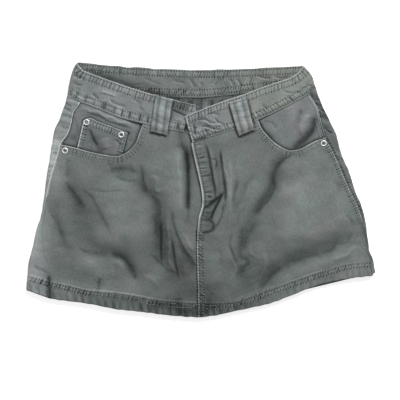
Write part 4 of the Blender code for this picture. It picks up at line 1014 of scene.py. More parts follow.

# The left front's edge tone below 0 is a painted shadow beside the centre seam below the fly
FRONT_TRIMS = {
    "left": [
        Trim(HEM_TOP_LINE, -1, (3.2, 9.0), 0.1, 0.4, 0.85, 5.8, 0.25, 0.20, 101),
        Trim(POCKETS["left"], -1, (4.0, 9.4), 0.4, 0.4, 0.40, 5.6, 0.1, 0.34, 111, 1.1, 0.6),
        Trim(SHOWN_SEAM["left"], -1, (1.8,), 0.2, 0.45, 0.15, 8.0, 0.0, 0.36, 121, 1.4, 0.2),
        Trim(fly_edge(high=FLY_FOOT_Y), 1, (1.2,), 0.0, 0.5, 0.30, 7.0, 0.0, -0.10, 131),
    ],
    "right": [
        Trim(HEM_TOP_LINE, -1, (3.2, 9.0), 0.1, 0.4, 0.85, 5.8, 0.7, 0.04, 201),
        Trim(POCKETS["right"], 1, (4.0, 9.4), 0.4, 0.4, 0.35, 5.6, 0.1, 0.38, 211, 1.1, 0.5),
        Trim(SHOWN_SEAM["right"], 1, (1.8, 6.2), 0.25, 0.35, 0.25, 8.0, 0.0, 0.46, 221),
        Trim(fly_edge(high=FLY_FOOT_Y), -1, (2.6, 9.0), 0.5, 0.5, 0.70, 6.6, 0.6, 0.50, 241, 1.6),
        Trim(fly_edge(low=-80.0), -1, (5.0,), 0.3, 0.5, 0.0, 7.0, 0.0, 0.62, 231, 1.7),
    ],
}
# How many of a front panel's edges have threads of their own
SEWN_EDGES = {"left": 3, "right": 4}
# Rows of threads of the fly: the line, its hand, its distance and a seed
FLY_ROWS = [(FLY_OUTER_LINE, -1, 0.0, 261), (FLY_FOOT_LINE, -1, 0.0, 271)]
FLY_SUNK = -0.22
COIN_TRIMS = [
    Trim(COIN_TOP, -1, (3.0, 11.5), 0.3, 0.4, 0.65, 5.2, 0.0, 0.24, 301, 1.3),
    Trim(COIN_LEFT, -1, (2.4, 8.0), 0.2, 0.3, 0.6, 7.6, 0.0, 0.85, 311, 1.8),
    Trim(COIN_RIGHT, -1, (2.4, 8.0), 0.2, 0.3, 0.6, 7.0, 0.0, 0.10, 321),
]
# The left facing's edge tone below 0 is a painted shadow beside the side seam
FACING_TRIMS = {
    "left": [Trim(seam_of("left"), -1, (1.8,), 0.0, 0.4, 0.15, 9.0, 0.0, -0.48, 331, 1.1, 0.0)],
    "right": [Trim(seam_of("right"), 1, (1.8,), 0.2, 0.1, 0.1, 8.0, 0.0, 0.40, 341, 1.3, 0.0)],
}
STRIP_TRIMS = {
    "left": [
        Trim(SHOWN_SEAM["left"], 1, (2.4,), 0.3, 0.25, 0.12, 9.0, 0.2, 0.48, 351, 1.1, 0.0),
        Trim(HEM_STRIPS["left"], -1, (3.2, 9.0), 0.25, 0.4, 0.85, 5.8, 0.25, 0.15, 352),
    ],
    "right": [
        Trim(SHOWN_SEAM["right"], -1, (2.4,), 0.2, 0.35, 0.4, 7.0, 0.2, -0.16, 361),
        Trim(HEM_STRIPS["right"], -1, (3.2, 9.0), 0.25, 0.4, 0.85, 5.8, 0.25, 0.10, 362),
        Trim(seam_of("right", 80.0), -1, (2.4,), 0.1, 0.0, 0.0, 7.0, 0.0, 0.50, 363, 1.5),
    ],
}


def back_line(side, level):
    """Straight line on the back from the folded side to the centre back."""
    edge = side_point(side, SIDE_STOPS[side][level], "edge")
    return [tuple(edge.tolist()), (0.0, CENTRE_BACK[level])]


CENTRE_BACK_SEAM = [(0.0, CENTRE_BACK["hem"]), (0.0, CENTRE_BACK["yoke"])]
BACK_TRIMS = {
    side: [
        Trim(back_line(side, "hem_top"), hand, (3.2, 9.0), 0.0, 0.3, 0.5, 5.8, 0.2, 0.10, 801),
        Trim(back_line(side, "yoke"), hand, (2.2, 8.0), 0.0, 0.3, 0.3, 6.4, 0.1, 0.20, 811),
        Trim(CENTRE_BACK_SEAM, -hand, (2.2, 8.0), 0.0, 0.3, 0.3, 6.8, 0.1, 0.20, 821),
    ]
    for side, hand in SIGN.items()
}


# The pulls across the fly overlap: their period and seed, how they bend to each side of their middle,
# the ripples between them, where they are weaker, and how much of them stands out
FLY_PULLS = 0.75
FLY_PULL_PERIOD = 7.8
FLY_PULL_SEED = 401
FLY_PULL_MIDDLE = 11.0
FLY_PULL_REACH = 6.5
FLY_PULL_FOOT_Y = -66.0
FLY_BENDS = Noise(11.0, 404, 0.25)
FLY_BENDS_FROM = 10.0
FLY_RIPPLES = Noise(3.1, 403, 0.6)
FLY_PATCHES = Noise(17.0, 402, 0.25)
FLY_SPOTS = Noise(6.0, 405, 0.6)
FLY_PUFF_SHARE = 0.4


def fly_puckers(x, y):
    """Pulls across the fly overlap, from its edge to the inner line."""
    line = fly_edge(low=FLY_PULL_FOOT_Y)
    away, share, hand = from_line(x, y, line, LONG_LINE_SAMPLES)
    run = share * length_of(line)
    bent = run + (away - FLY_BENDS_FROM) * wavering(run, FLY_BENDS)
    pulls = tucks(bent / FLY_PULL_PERIOD, FLY_PULL_SEED) + wavering(bent, FLY_RIPPLES)
    pulls = np.where(pulls > 0.0, FLY_PUFF_SHARE, 1.0) * varied(run, FLY_PATCHES) * pulls
    inside = np.where(hand < 0, bell(away - FLY_PULL_MIDDLE, FLY_PULL_REACH), 0.0)
    return FLY_PULLS * pulls * inside * (1.0 + wavering(run + 1.5 * away, FLY_SPOTS))


# ---------------------------------------------------------------- meshes

ROUNDED_RIM = 0.3
HIDDEN_TONE = 0.42
# Width, length and area of each piece's flat cut, in metres
CUT_SIZES = {}


def with_height(grid, height):
    return np.concatenate([grid, np.broadcast_to(height, grid.shape[:-1])[..., None]], axis=-1)


def rim_of(rows, columns):
    """Indices round a grid's rim."""
    index = np.arange(rows * columns).reshape(rows, columns)
    return np.concatenate([index[0], index[1:, -1], index[-1, -2::-1], index[-2:0:-1, 0]])


def fine_faces(rows, columns):
    index = np.arange(rows * columns).reshape(rows, columns)
    quads = [index[:-1, :-1], index[:-1, 1:], index[1:, 1:], index[1:, :-1]]
    return np.stack(quads, axis=-1).reshape(-1, 4).tolist()


def coarse_faces(rows, columns):
    """Faces over whole blocks of a grid's cells, which keep every point of its rim."""
    row_marks = sorted({*range(0, rows - 1, COARSE_STEP), rows - 1})
    column_marks = sorted({*range(0, columns - 1, COARSE_STEP), columns - 1})
    faces = []
    for low, high in zip(row_marks, row_marks[1:]):
        for left, right in zip(column_marks, column_marks[1:]):
            bottom_side = range(left, right) if low == 0 else [left]
            right_side = range(low, high) if right == columns - 1 else [low]
            top_side = range(right, left, -1) if high == rows - 1 else [right]
            left_side = range(high, low, -1) if left == 0 else [high]
            face = [low * columns + place for place in bottom_side]
            face += [place * columns + right for place in right_side]
            face += [high * columns + place for place in top_side]
            face += [place * columns + left for place in left_side]
            faces.append(face)
    return faces


def placed(name, data, place=(0.0, 0.0, 0.0)):
    """Object with the given data, in the scene."""
    thing = bpy.data.objects.new(name, data)
    thing.location = place
    bpy.context.scene.collection.objects.link(thing)
    return thing


def piece_of(name, points, faces, *materials, place=(0.0, 0.0, 0.0)):
    """Smooth piece from points in millimetres."""
    mesh = bpy.data.meshes.new(name)
    mesh.from_pydata((points * MM).tolist(), [], faces)
    mesh.shade_smooth()
    for material in materials:
        mesh.materials.append(material)
    return placed(name, mesh, place)


def store_map(mesh, places):
    flat = mesh.uv_layers.new(name="cut")
    corner = np.zeros(len(mesh.loops), dtype=np.int32)
    mesh.loops.foreach_get("vertex_index", corner)
    flat.data.foreach_set("uv", places[corner].astype(np.float32).reshape(-1))


def store_value(mesh, name, values):
    attribute = mesh.attributes.new(name, "FLOAT", "POINT")
    attribute.data.foreach_set("value", values.astype(np.float32))


def cut_size(cut):
    width, length = np.ptp(cut.reshape(-1, 2), axis=0)
    one = cut[1:, 1:] - cut[:-1, :-1]
    other = cut[1:, :-1] - cut[:-1, 1:]
    area = 0.5 * np.abs(one[..., 0] * other[..., 1] - one[..., 1] * other[..., 0]).sum()
    return float(width), float(length), float(area)


def shell(name, outer, inner, face, material, cut=None, inside=None, worn_rim=0.0):
    """Closed shell of cloth between two grids of points, with its flat cut as the weave's map.

    A shell whose inner side has no look of its own shows it nowhere, so that side is coarse.
    """
    rows, columns = outer.shape[:2]
    rim = rim_of(rows, columns)
    front = outer.reshape(-1, 3).copy()
    back = inner.reshape(-1, 3).copy()
    towards = (back - front)[rim]
    front[rim] += ROUNDED_RIM * towards
    back[rim] -= ROUNDED_RIM * towards
    middle = (rows // 2) * columns + columns // 2
    normal = np.cross(front[middle + 1] - front[middle], front[middle + columns] - front[middle])
    turned = np.dot(normal, front[middle] - back[middle]) < 0.0
    inner_faces = coarse_faces(rows, columns) if inside is None else fine_faces(rows, columns)
    kept = np.unique(np.concatenate([np.asarray(corners) for corners in inner_faces]))
    moved = np.zeros(rows * columns, dtype=int)
    moved[kept] = rows * columns + np.arange(len(kept))
    onward = np.roll(rim, -1)
    sides = np.stack([onward, rim, moved[rim], moved[onward]], axis=-1).tolist()
    faces = fine_faces(rows, columns) + [moved[corners[::-1]].tolist() for corners in inner_faces] + sides
    if turned:
        faces = [corners[::-1] for corners in faces]
    piece = piece_of(name, np.concatenate([front, back[kept]]), faces, material)
    cut = (outer[..., :2] if cut is None else cut) * MM
    flat_cut = cut.reshape(-1, 2)
    store_map(piece.data, np.concatenate([flat_cut, flat_cut[kept]]))
    CUT_SIZES[name] = cut_size(cut)
    inside = plain(HIDDEN_TONE) if inside is None else inside
    edge_tone = np.zeros(rows * columns)
    edge_tone[rim] = worn_rim
    for value, near, far, added in (
        ("tone", face.tone, inside.tone, edge_tone),
        ("stitch_away", face.away, inside.away, 0.0),
        ("stitch_run", face.run, inside.run, 0.0),
    ):
        near, far = (np.broadcast_to(values, (rows, columns)).reshape(-1) for values in (near, far))
        store_value(piece.data, value, np.concatenate([near + added, far[kept]]))
    return piece


def layer(name, grid, face, thickness, material, worn_rim=0.0):
    """Shell over a flat grid, from its face's height down through its thickness."""
    outer = with_height(grid, face.height)
    inner = with_height(grid, face.height - thickness)
    return shell("cloth_" + name, outer, inner, face, material, worn_rim=worn_rim)


# ---------------------------------------------------------------- tones

BODY_TONE = 0.49
BODY_CONTRAST = 1.12
SHADE_END = 0.25
SHADE_FADE = 0.12
SHADE_CORE = 0.35
SHADE_SWAY = 0.35
# Painted shade in crease and fold troughs, painted light on their ridges, painted shade in faint creases
TROUGH_TONE = 0.055
RIDGE_TONE = 0.04
TROUGHS_FADE_Y = (95.0, 55.0)
FOLD_TONE = 0.4
FAINT_TONE = 0.015
BODY_CLOUDS = Noise(23.0, 61, 0.03)
FINE_CLOUDS = Noise(9.0, 68, 0.03)
# Soft patches of painted light and painted shade: lighter on the left side and low on the right, darker
# low in the middle
PaintedPatch = namedtuple("PaintedPatch", "x y reach_x reach_y tone")
PAINTED_PATCHES = [
    PaintedPatch(-240, 40, 12, 44, 0.10),
    PaintedPatch(-232, 20, 14, 30, 0.07),
    PaintedPatch(-270, -76, 22, 74, 0.19),
    PaintedPatch(-190, -34, 20, 20, -0.04),
    PaintedPatch(-70, -80, 22, 46, -0.06),
    PaintedPatch(-20, -150, 50, 40, -0.12),
    PaintedPatch(70, -130, 40, 36, -0.08),
    PaintedPatch(-6, -172, 44, 16, -0.08),
    PaintedPatch(262, -104, 26, 18, 0.05),
]


def patch_light_and_shade(x, y):
    return sum(painted_patch.tone * bell(x - painted_patch.x, painted_patch.reach_x) * bell(y - painted_patch.y, painted_patch.reach_y) for painted_patch in PAINTED_PATCHES)


def trough_tone(depth):
    """Tone of the creases: painted shade in their bottoms and painted light on their ridges."""
    return np.where(depth < 0.0, TROUGH_TONE, RIDGE_TONE) * depth


def shaded(x, y, shades=SHADES):
    return relief(x, y, shades, SHADE_END, SHADE_FADE, SHADE_CORE, SHADE_SWAY)


# Front tone: painted light and shade patches, crease, fold and line shading, and random mottling
def body_tone(x, y):
    troughs = trough_tone(creases(x, y, CREASES)) + FOLD_TONE * trough_tone(relief(x, y, FOLDS))
    troughs = troughs * between(y, *TROUGHS_FADE_Y) - FAINT_TONE * faint_creases(x, y, FAINT_SEED)
    clouds = clouded(x, y, BODY_CLOUDS) + clouded(0.5 * x, y, FINE_CLOUDS)
    return BODY_TONE + BODY_CONTRAST * (patch_light_and_shade(x, y) + troughs + shaded(x, y) + clouds)


# ---------------------------------------------------------------- front panels

BODY_EASE = 0.3
HEM_WAVER = Noise(8.0, 71, 0.5)
SEAM_DIP = 0.5
SEAM_DIP_REACH = 2.2
# Painted shadow of the waistband on the cloth just below its lower edge
FRONT_WAIST_SHADE = 0.12
BANDS = {"left": BAND_LEFT, "right": BAND_RIGHT}
LAPS = {"left": 0.0, "right": 1.0}
# The turned-up hem: its step is flat and its top line and rows get a painted shadow near the centre, its
# puffs are weaker on the right and lie in its lower half, with painted light on them and painted shade
# between them, and it is darker from the left to the middle
HEM_STEP_RISE = 0.22
HEM_CENTRE = 30.0
HEM_CENTRE_REACH = 110.0
HEM_STEP_WIDTH = 0.9
HEM_PUFF_PERIOD = 12.0
HEM_PUFF_SLANT = 0.02
HEM_PUFF_SEED = 81
HEM_RIPPLES = Noise(3.7, 83, 0.5)
HEM_PATCHES = Noise(25.0, 82, 0.25)
HEM_PUFFS = 0.72
HEM_PUFFS_RIGHT = 0.45
HEM_PUFFS_EASE_X = (20.0, 80.0)
HEM_PUFFS_BELOW = (6.0, 12.0)
HEM_PUFFS_MIDDLE = 4.0
HEM_PUFFS_REACH = 9.0
HEM_DARK_X = (-240.0, -160.0)
HEM_PALE_X = (60.0, 140.0)
HEM_TONES = (0.02, -0.08)
HEM_CENTRE_SHADE = 0.12


def waist_line(side, start_x, end_x, shares):
    """Points along the front waistband's lower edge."""
    xs = mix(start_x, end_x, shares)
    return np.stack([xs, curve(BANDS[side], "seam_x", "seam_y", xs)], axis=-1)


def fly_line(heights):
    points = np.array(FLY_EDGE)
    return np.stack([through(points[:, 1], points[:, 0], heights), heights], axis=-1)


def seam_hides(side, y):
    """1 along the foot of the left side seam, where the cloth runs on without a gap."""
    return between(y, *CLOSED_SEAM_Y) * (side == "left")


def half_gap(side, y):
    """Half the gap of a side seam."""
    return 0.5 * SEAM_GAP - CLOSED_GAP * seam_hides(side, y)


def front_grid(side):
    """Grid of a front panel, hem to top, from its left edge to its right edge."""
    left = side == "left"
    stops = SIDE_STOPS[side]
    by_side = finer_at_start(POCKET_COLUMNS)
    by_fly = finer_at_start(WAIST_COLUMNS)
    pocket = along(POCKETS[side], by_side)
    waist = waist_line(side, BANDS[side][-1 if left else 0].seam_x, pocket[-1, 0], by_fly)
    first, second = (pocket, waist) if left else (waist, pocket)
    top = np.concatenate([first, second[::-1][1:]])
    first, second = (by_side, by_fly) if left else (by_fly, by_side)
    share = HEM_SHARE[side]
    columns = np.concatenate([share * first, 1.0 - (1.0 - share) * second[::-1][1:]])
    rises = graded(BODY_ROWS, BODY_EASE)
    seam = side_point(side, mix(stops["hem_top"] + HEM_STEP, stops["pocket"], rises), "seam")
    seam[:, 0] -= SIGN[side] * half_gap(side, seam[:, 1])
    centre = fly_line(mix(hem_y(FLY_EDGE[0][0], "top"), top[-1 if left else 0, 1], rises))
    under = between(centre[:, 1], *UNDERLAP_ENDS_Y)
    centre[:, 0] += mix(-0.5 * SEAM_GAP, UNDERLAP, under) if left else 0.5 * SEAM_GAP
    edges = [seam, centre] if left else [centre, seam]
    low = mix(edges[0][0, 0], edges[1][0, 0], columns)
    hem_top = np.stack([low, hem_y(low, "top")], axis=-1)
    hem_bottom = np.stack([low, hem_y(low, "bottom") + wavering(low, HEM_WAVER)], axis=-1)
    outermost = 0 if left else -1
    for line, level in ((hem_bottom, "hem"), (hem_top, "hem_top")):
        line[outermost] = side_point(side, stops[level], "seam") - (SIGN[side] * 0.5 * SEAM_GAP, 0.0)
    bottom = hem_top + (0.0, HEM_STEP)
    bottom[outermost] = seam[0]
    top = top - (0.0, 0.5 * SEAM_GAP)
    for edge, end in zip(edges, (0, -1)):
        edge[0] = bottom[end]
        edge[-1] = top[end]
    hem = mix(hem_bottom[None], hem_top[None], even(HEM_ROWS)[:, None, None])
    return np.concatenate([hem, patch(bottom, top, *edges)])


def hem_relief(x, below, above_edge):
    """The turned-up hem: thicker than the panel, with puffs across its lower half.

    Below is the distance down from its top line, and above_edge the distance up from its edge.
    """
    centre = bell(x - HEM_CENTRE, HEM_CENTRE_REACH)
    step = HEM_STEP_RISE * (1.0 - centre) * between(below, -HEM_STEP_WIDTH, HEM_STEP_WIDTH)
    puffs = tucks(x / HEM_PUFF_PERIOD + HEM_PUFF_SLANT * above_edge, HEM_PUFF_SEED)
    puffs = (puffs + wavering(x, HEM_RIPPLES)) * varied(x, HEM_PATCHES) * between(below, *HEM_PUFFS_BELOW)
    puffs = puffs * HEM_PUFFS * mix(1.0, HEM_PUFFS_RIGHT, between(x, *HEM_PUFFS_EASE_X))
    puffs = puffs * bell(above_edge - HEM_PUFFS_MIDDLE, HEM_PUFFS_REACH)
    dark = between(x, *HEM_DARK_X) * (1.0 - between(x, *HEM_PALE_X))
    tone = ramp(below / 2.0) * (PUFF_SHARE * PUCKER_TONE * puffs + mix(*HEM_TONES, dark))
    return step + puffs, tone - HEM_CENTRE_SHADE * centre * bell(below, SEAM_DIP_REACH)


def under_band(x, y):
    """1 at the waistband's lower edge, where what lies below it dips and gets painted shadow, 0 further down.
    """
    return 1.0 - ramp((band_seam_y(x) - y) / SEAM_DIP_REACH)


def front_surface(side, x, y):
    """Height and tone of a front panel's outer face."""
    edges = trimmed(x, y, FRONT_TRIMS[side])
    rise, tone = hem_relief(x, hem_y(x, "top") - y, y - hem_y(x, "bottom"))
    # Painted light and shade of the pulls across the fly overlap, on the right front
    if side == "right":
        pulls = fly_puckers(x, y)
        rise = rise + pulls
        tone = tone + PUCKER_TONE * pulls
    waist = under_band(x, y)
    height = front_height(x, y, lap=LAPS[side]) + edges.height + rise - SEAM_DIP * waist
    tone = body_tone(x, y) + edges.tone + tone - FRONT_WAIST_SHADE * waist
    return edges._replace(height=height, tone=tone)


def front_panel(side):
    grid = front_grid(side)
    face = front_surface(side, grid[..., 0], grid[..., 1])
    thickness = np.full(grid.shape[:2], CLOTH)
    thickness[: HEM_ROWS + 1] = HEM_CLOTH
    if side == "left":
        level = FLUSH_LIFT * seam_hides(side, grid[:, 0, 1])
        face.height[:, 0] += level
        thickness[:, 0] += level
    return layer("front_" + side, grid, face, thickness, DENIM_FRONT)


# ---------------------------------------------------------------- back panels and yokes

BACK_TONE = 0.5
BACK_WORN_RIM = 0.03
BACK_CLOUDS = Noise(19.0, 62, 0.04)
BACK_FOLD_TONE = 0.09
FOLD_WAVER = {"left": Noise(7.0, 91, 0.5), "right": Noise(7.0, 92, 0.5)}
# Painted light on the left strip and painted shade on the right one that come round to the side seams,
# above and below the hips
STRIP_TONE = {"left": 0.23, "right": -0.03}
LOW_STRIP_TONE = {"left": 0.13, "right": -0.06}
HIPS_Y = (-30.0, 0.0)
# Rise of the pulls across the strips low down, and what is added further up, above the hips and below
# the waist
STRIP_PULLS = 0.10
STRIP_PULL_STEP = 4.4
STRIP_PULL_SLANT = 0.08
STRIP_PULL_SEEDS = {"left": 501, "right": 511}
STRIP_PATCHES = {"left": Noise(19.0, 502, 0.4), "right": Noise(19.0, 512, 0.4)}
STRIP_SETTLES = 3.0
MORE_PULLS = (((-20.0, 20.0), 0.30), ((60.0, 110.0), 0.15))
STRIP_DARK_Y = (80.0, 110.0)
STRIP_DARK = 0.10
# The yokes' inner faces, which the waist opening shows, with painted shade and light on their folds and
# dimples
YOKE_TONE = 0.35
YOKE_DIMPLES = 0.25
YOKE_FOLD_TONE = 0.14
YOKE_DIMPLE_TONE = 0.13
YOKE_CLOUDS = Noise(9.0, 63, 0.06)
YOKE_TUCK_PERIOD = 4.6
YOKE_TUCK_SLANT = 0.03
YOKE_TUCK_SEED = 64
YOKE_RIPPLES = Noise(3.4, 65, 1.0)


def hollows(rise):
    """Depth into the cloth, on the side that lies on the surface, where nothing stands out."""
    return np.maximum(-rise, 0.0)


def behind_surface(side, x, y):
    """Height and tone of the back's outer face."""
    edges = trimmed(x, y, BACK_TRIMS[side])
    tone = BACK_TONE + clouded(x, y, BACK_CLOUDS) + BACK_FOLD_TONE * relief(x, y, BACK_FOLDS)
    return edges._replace(height=back_height(x, y) + hollows(edges.height), tone=tone + edges.tone)


def strip_surface(side, x, y, up, shares, start_height):
    """Height and tone of the strip that comes round to the side seam.

    Up are its rows' heights on the fold, and shares its columns' places from the fold to the seam.
    """
    edges = trimmed(x, y, STRIP_TRIMS[side])
    hem_rise, hem_tone = hem_relief(x, SIDE_STOPS[side]["hem_top"] - up, up - SIDE_STOPS[side]["hem"])
    strength = STRIP_PULLS + sum(added * between(y, *heights) for heights, added in MORE_PULLS)
    pulls = uneven(y / STRIP_PULL_STEP + STRIP_PULL_SLANT * x, STRIP_PULL_SEEDS[side])
    pulls = strength * pulls * varied(y, STRIP_PATCHES[side]) + creases(x, y, STRIP_CREASES)
    settled = front_height(x, y) + edges.height + pulls + hem_rise
    height = mix(start_height, settled, ramp(STRIP_SETTLES * shares))
    height[:, -1] += FLUSH_LIFT * seam_hides(side, y[:, -1])
    # Painted light and shade of the pulls, the strips' creases and the hem's puffs
    tone = body_tone(x, y) + edges.tone + PUCKER_TONE * pulls + hem_tone
    tone += mix(LOW_STRIP_TONE[side] * (1.0 - shares), STRIP_TONE[side], between(y, *HIPS_Y))
    return edges._replace(height=height, tone=tone - STRIP_DARK * between(y, *STRIP_DARK_Y))


def folded(side, stops, centre_y, thickness):
    """Outer and inner grids of a piece from the centre back, round the fold, to the side seam.

    With them come the face that they show and their flat cut.
    """
    sign = SIGN[side]
    thickness = np.asarray(thickness)[:, None]
    edge = side_point(side, stops, "edge")
    edge_y = edge[:, 1:]
    seam = side_point(side, stops, "seam")
    seam[:, 0] += sign * half_gap(side, seam[:, 1])
    inset_x = edge[:, :1] - sign * FOLD_INSET
    high = front_height(inset_x, edge_y)
    low = back_height(inset_x, edge_y)
    radius = 0.5 * (high - low)
    turn_x = edge[:, :1] + sign * (wavering(edge_y, FOLD_WAVER[side]) - radius)
    turn = np.stack([turn_x, edge_y], axis=-1)
    centre = np.stack([np.full(edge_y.shape, sign * 0.5 * SEAM_GAP), np.reshape(centre_y, (-1, 1))], axis=-1)
    shares = even(STRIP_COLUMNS)
    behind_grid = mix(centre, turn, even(BACK_COLUMNS)[:, None])
    strip_grid = mix(turn, seam[:, None], shares[:, None])
    behind = behind_surface(side, behind_grid[..., 0], behind_grid[..., 1])
    strip = strip_surface(side, strip_grid[..., 0], strip_grid[..., 1], edge_y, shares, high)
    angles = np.pi * (even(TURN_STEPS)[1:-1] - 0.5)
    grids = []
    for depth in (0.0 * thickness, thickness):
        bend = np.maximum(radius - depth, LEAST_BEND)
        round_x = turn_x + sign * bend * np.cos(angles)
        round_z = low + radius + bend * np.sin(angles)
        around = np.stack([round_x, np.broadcast_to(edge_y, round_x.shape), round_z], axis=-1)
        parts = [with_height(behind_grid, behind.height + depth), around]
        grids.append(np.concatenate([*parts, with_height(strip_grid, strip.height - depth)], axis=1))
    plain_fold = [np.broadcast_to(value, round_x.shape) for value in (strip.tone[:, :1], FAR, 0.0)]
    shown = [np.concatenate(values, axis=1) for values in zip(behind[1:], plain_fold, strip[1:])]
    steps = np.linalg.norm(np.diff(grids[0], axis=1), axis=-1)
    run = np.concatenate([0.0 * edge_y, np.cumsum(steps, axis=1)], axis=1)
    cut = np.stack([sign * run, grids[0][..., 1]], axis=-1)
    return grids[0], grids[1], Face(0.0, *shown), cut


def back_panel(side):
    stops = SIDE_STOPS[side]
    hem = np.linspace(stops["hem"], stops["hem_top"], HEM_ROWS // 2)
    body = np.linspace(stops["hem_top"] + HEM_STEP, stops["yoke"] - 0.5 * SEAM_GAP, BACK_ROWS)
    share = (body - stops["hem_top"]) / (stops["yoke"] - stops["hem_top"])
    centre_y = np.concatenate([
        np.linspace(CENTRE_BACK["hem"], CENTRE_BACK["hem_top"], len(hem)),
        mix(CENTRE_BACK["hem_top"], CENTRE_BACK["yoke"], share),
    ])
    thickness = [HEM_CLOTH] * len(hem) + [CLOTH] * len(body)
    outer, inner, face, cut = folded(side, np.concatenate([hem, body]), centre_y, thickness)
    return shell("cloth_back_" + side, outer, inner, face, DENIM, cut, worn_rim=BACK_WORN_RIM)


def yoke(side):
    heights, centre_y = (
        np.linspace(levels["yoke"], levels["band"], YOKE_ROWS) for levels in (SIDE_STOPS[side], CENTRE_BACK)
    )
    for values in (heights, centre_y):
        values[0] += 0.5 * SEAM_GAP
        values[-1] -= 0.5 * SEAM_GAP
    outer, inner, face, cut = folded(side, heights, centre_y, [CLOTH] * YOKE_ROWS)
    x, y = inner[..., 0], inner[..., 1]
    folds = relief(x, y, YOKE_CREASES)
    dimples = tucks(x / YOKE_TUCK_PERIOD + YOKE_TUCK_SLANT * y, YOKE_TUCK_SEED) + wavering(y, YOKE_RIPPLES)
    behind = np.arange(inner.shape[1]) <= BACK_COLUMNS
    inner[..., 2] += np.where(behind, folds + YOKE_DIMPLES * dimples, 0.0)
    tone = YOKE_TONE + YOKE_FOLD_TONE * folds + YOKE_DIMPLE_TONE * dimples + clouded(x, y, YOKE_CLOUDS)
    return shell("cloth_yoke_" + side, outer, inner, face, DENIM, cut, plain(tone), BACK_WORN_RIM)


# ---------------------------------------------------------------- pocket facings, coin pocket, fly

# Tones of a pocket's pieces: how much painted shade and light their creases get, their mottling, and
# the depth and reach of the painted shadow beside the pocket's opening
Lining = namedtuple("Lining", "creases clouds shade reach")
FACING_LOOK = Lining(1.4, Noise(17.0, 64, 0.04), 0.40, 3.6)
COIN_LOOK = Lining(1.2, Noise(14.0, 65, 0.04), 0.30, 3.5)
FACING_TONE = {"left": 0.55, "right": 0.54}
# Painted shadow of the waistband on the facings just below its lower edge
FACING_WAIST_SHADE = 0.20
FACING_WORN_RIM = 0.02
COIN_TONE = 0.52
WORN_RIM = 0.04
FLY_FACING_TONE = 0.45
# Painted shadow that each edge of the coin pocket casts on the facing: how dark it is, and how far out
COIN_EDGE_SHADOWS = ((COIN_TOP, 0.34), (COIN_RIGHT, 0.46), (COIN_LEFT, 0.26))
COIN_SHADOW_REACH = 2.2


def facing_grid(side):
    """Grid of a pocket facing, from its hidden edge below the opening up to the waistband."""
    sign = SIGN[side]
    stops = SIDE_STOPS[side]
    opening = along(POCKETS[side], even(24))
    hidden = opening + sign * POCKET_UNDERLAP * sideways(np.gradient(opening, axis=0))
    hidden = along(hidden, even(FACING_COLUMNS))
    heights = [stops["pocket"] - POCKET_UNDERLAP, *np.linspace(stops["pocket"], stops["band"], 7)]
    seam = side_point(side, heights, "seam") - (sign * (FACING_SIDE_GAP + 0.5 * SEAM_GAP), 0.0)
    seam[-1] -= (0.0, FACING_HEAD_DROP)
    seam = along(seam, even(FACING_ROWS))
    hidden[0] = seam[0]
    waist = waist_line(side, seam[-1, 0], hidden[-1, 0], even(FACING_COLUMNS)) - (0.0, FACING_INSET)
    waist[0] = seam[-1]
    inner = np.linspace(hidden[-1] - (0.0, FACING_FOOT_DROP), waist[-1], FACING_ROWS + 1)
    hidden[-1] = inner[0]
    if side == "left":
        return patch(hidden, waist, seam, inner)
    return patch(hidden[::-1], waist[::-1], inner, seam)


def lining_tone(side, x, y, look, shades):
    """Tone of a pocket's piece: mottling, and painted shade and light from its creases, shades and opening.
    """
    away, _, _ = from_line(x, y, POCKETS[side])
    tone = look.creases * trough_tone(creases(x, y, FACING_CREASES)) + shaded(x, y, shades)
    return tone + clouded(x, y, look.clouds) - look.shade * bell(away, look.reach)


def facing_surface(side, x, y):
    edges = trimmed(x, y, FACING_TRIMS[side])
    waist = under_band(x, y)
    tone = FACING_TONE[side] + lining_tone(side, x, y, FACING_LOOK, FACING_SHADES) + edges.tone
    tone = tone - FACING_WAIST_SHADE * waist
    for line, depth in COIN_EDGE_SHADOWS if side == "left" else ():
        tone = tone - depth * bell(from_line(x, y, line)[0], COIN_SHADOW_REACH)
    return edges._replace(height=facing_height(side, x, y) + edges.height - SEAM_DIP * waist, tone=tone)


def facing(side):
    grid = facing_grid(side)
    face = facing_surface(side, grid[..., 0], grid[..., 1])
    return layer("facing_" + side, grid, face, CLOTH, DENIM_FACING, FACING_WORN_RIM)


def coin_surface(x, y):
    edges = trimmed(x, y, COIN_TRIMS)
    tone = COIN_TONE + lining_tone("left", x, y, COIN_LOOK, COIN_SHADES) + edges.tone
    height = facing_height("left", x, y) + LAYER_GAP + COIN_CLOTH + edges.height
    return edges._replace(height=height, tone=tone)


def coin_pocket():
    bottom = along(COIN_POCKET["bottom"], even(COIN_COLUMNS))
    top = along(COIN_POCKET["top"], even(COIN_COLUMNS))
    sides = [np.linspace(bottom[end], top[end], COIN_ROWS + 1) for end in (0, -1)]
    grid = patch(bottom, top, *sides)
    face = coin_surface(grid[..., 0], grid[..., 1])
    return layer("coin_pocket", grid, face, COIN_CLOTH, DENIM_FACING, WORN_RIM)


def fly_facing():
    """Facing behind the fly overlap, as wide as its outer stitching."""
    edge = fly_line(np.linspace(*FLY_FACING_Y, FLY_FACING_ROWS + 1)) + (FLY_FACING_INSET, 0.0)
    line = along(FLY_FACING_LINE, even(FLY_FACING_ROWS))
    foot = np.linspace(edge[0], line[0], FLY_FACING_COLUMNS)
    head = np.linspace(edge[-1], line[-1], FLY_FACING_COLUMNS)
    head[:, 1] = np.interp(head[:, 0], *FLY_FACING_HEAD)
    edge[-1] = head[0]
    line[-1] = head[-1]
    grid = patch(foot, head, edge, line)
    height = front_height(grid[..., 0], grid[..., 1], lap=1.0) - CLOTH - LAYER_GAP
    face = plain(FLY_FACING_TONE)._replace(height=height)
    return layer("fly_facing", grid, face, FLY_CLOTH, DENIM)


# ---------------------------------------------------------------- waistband

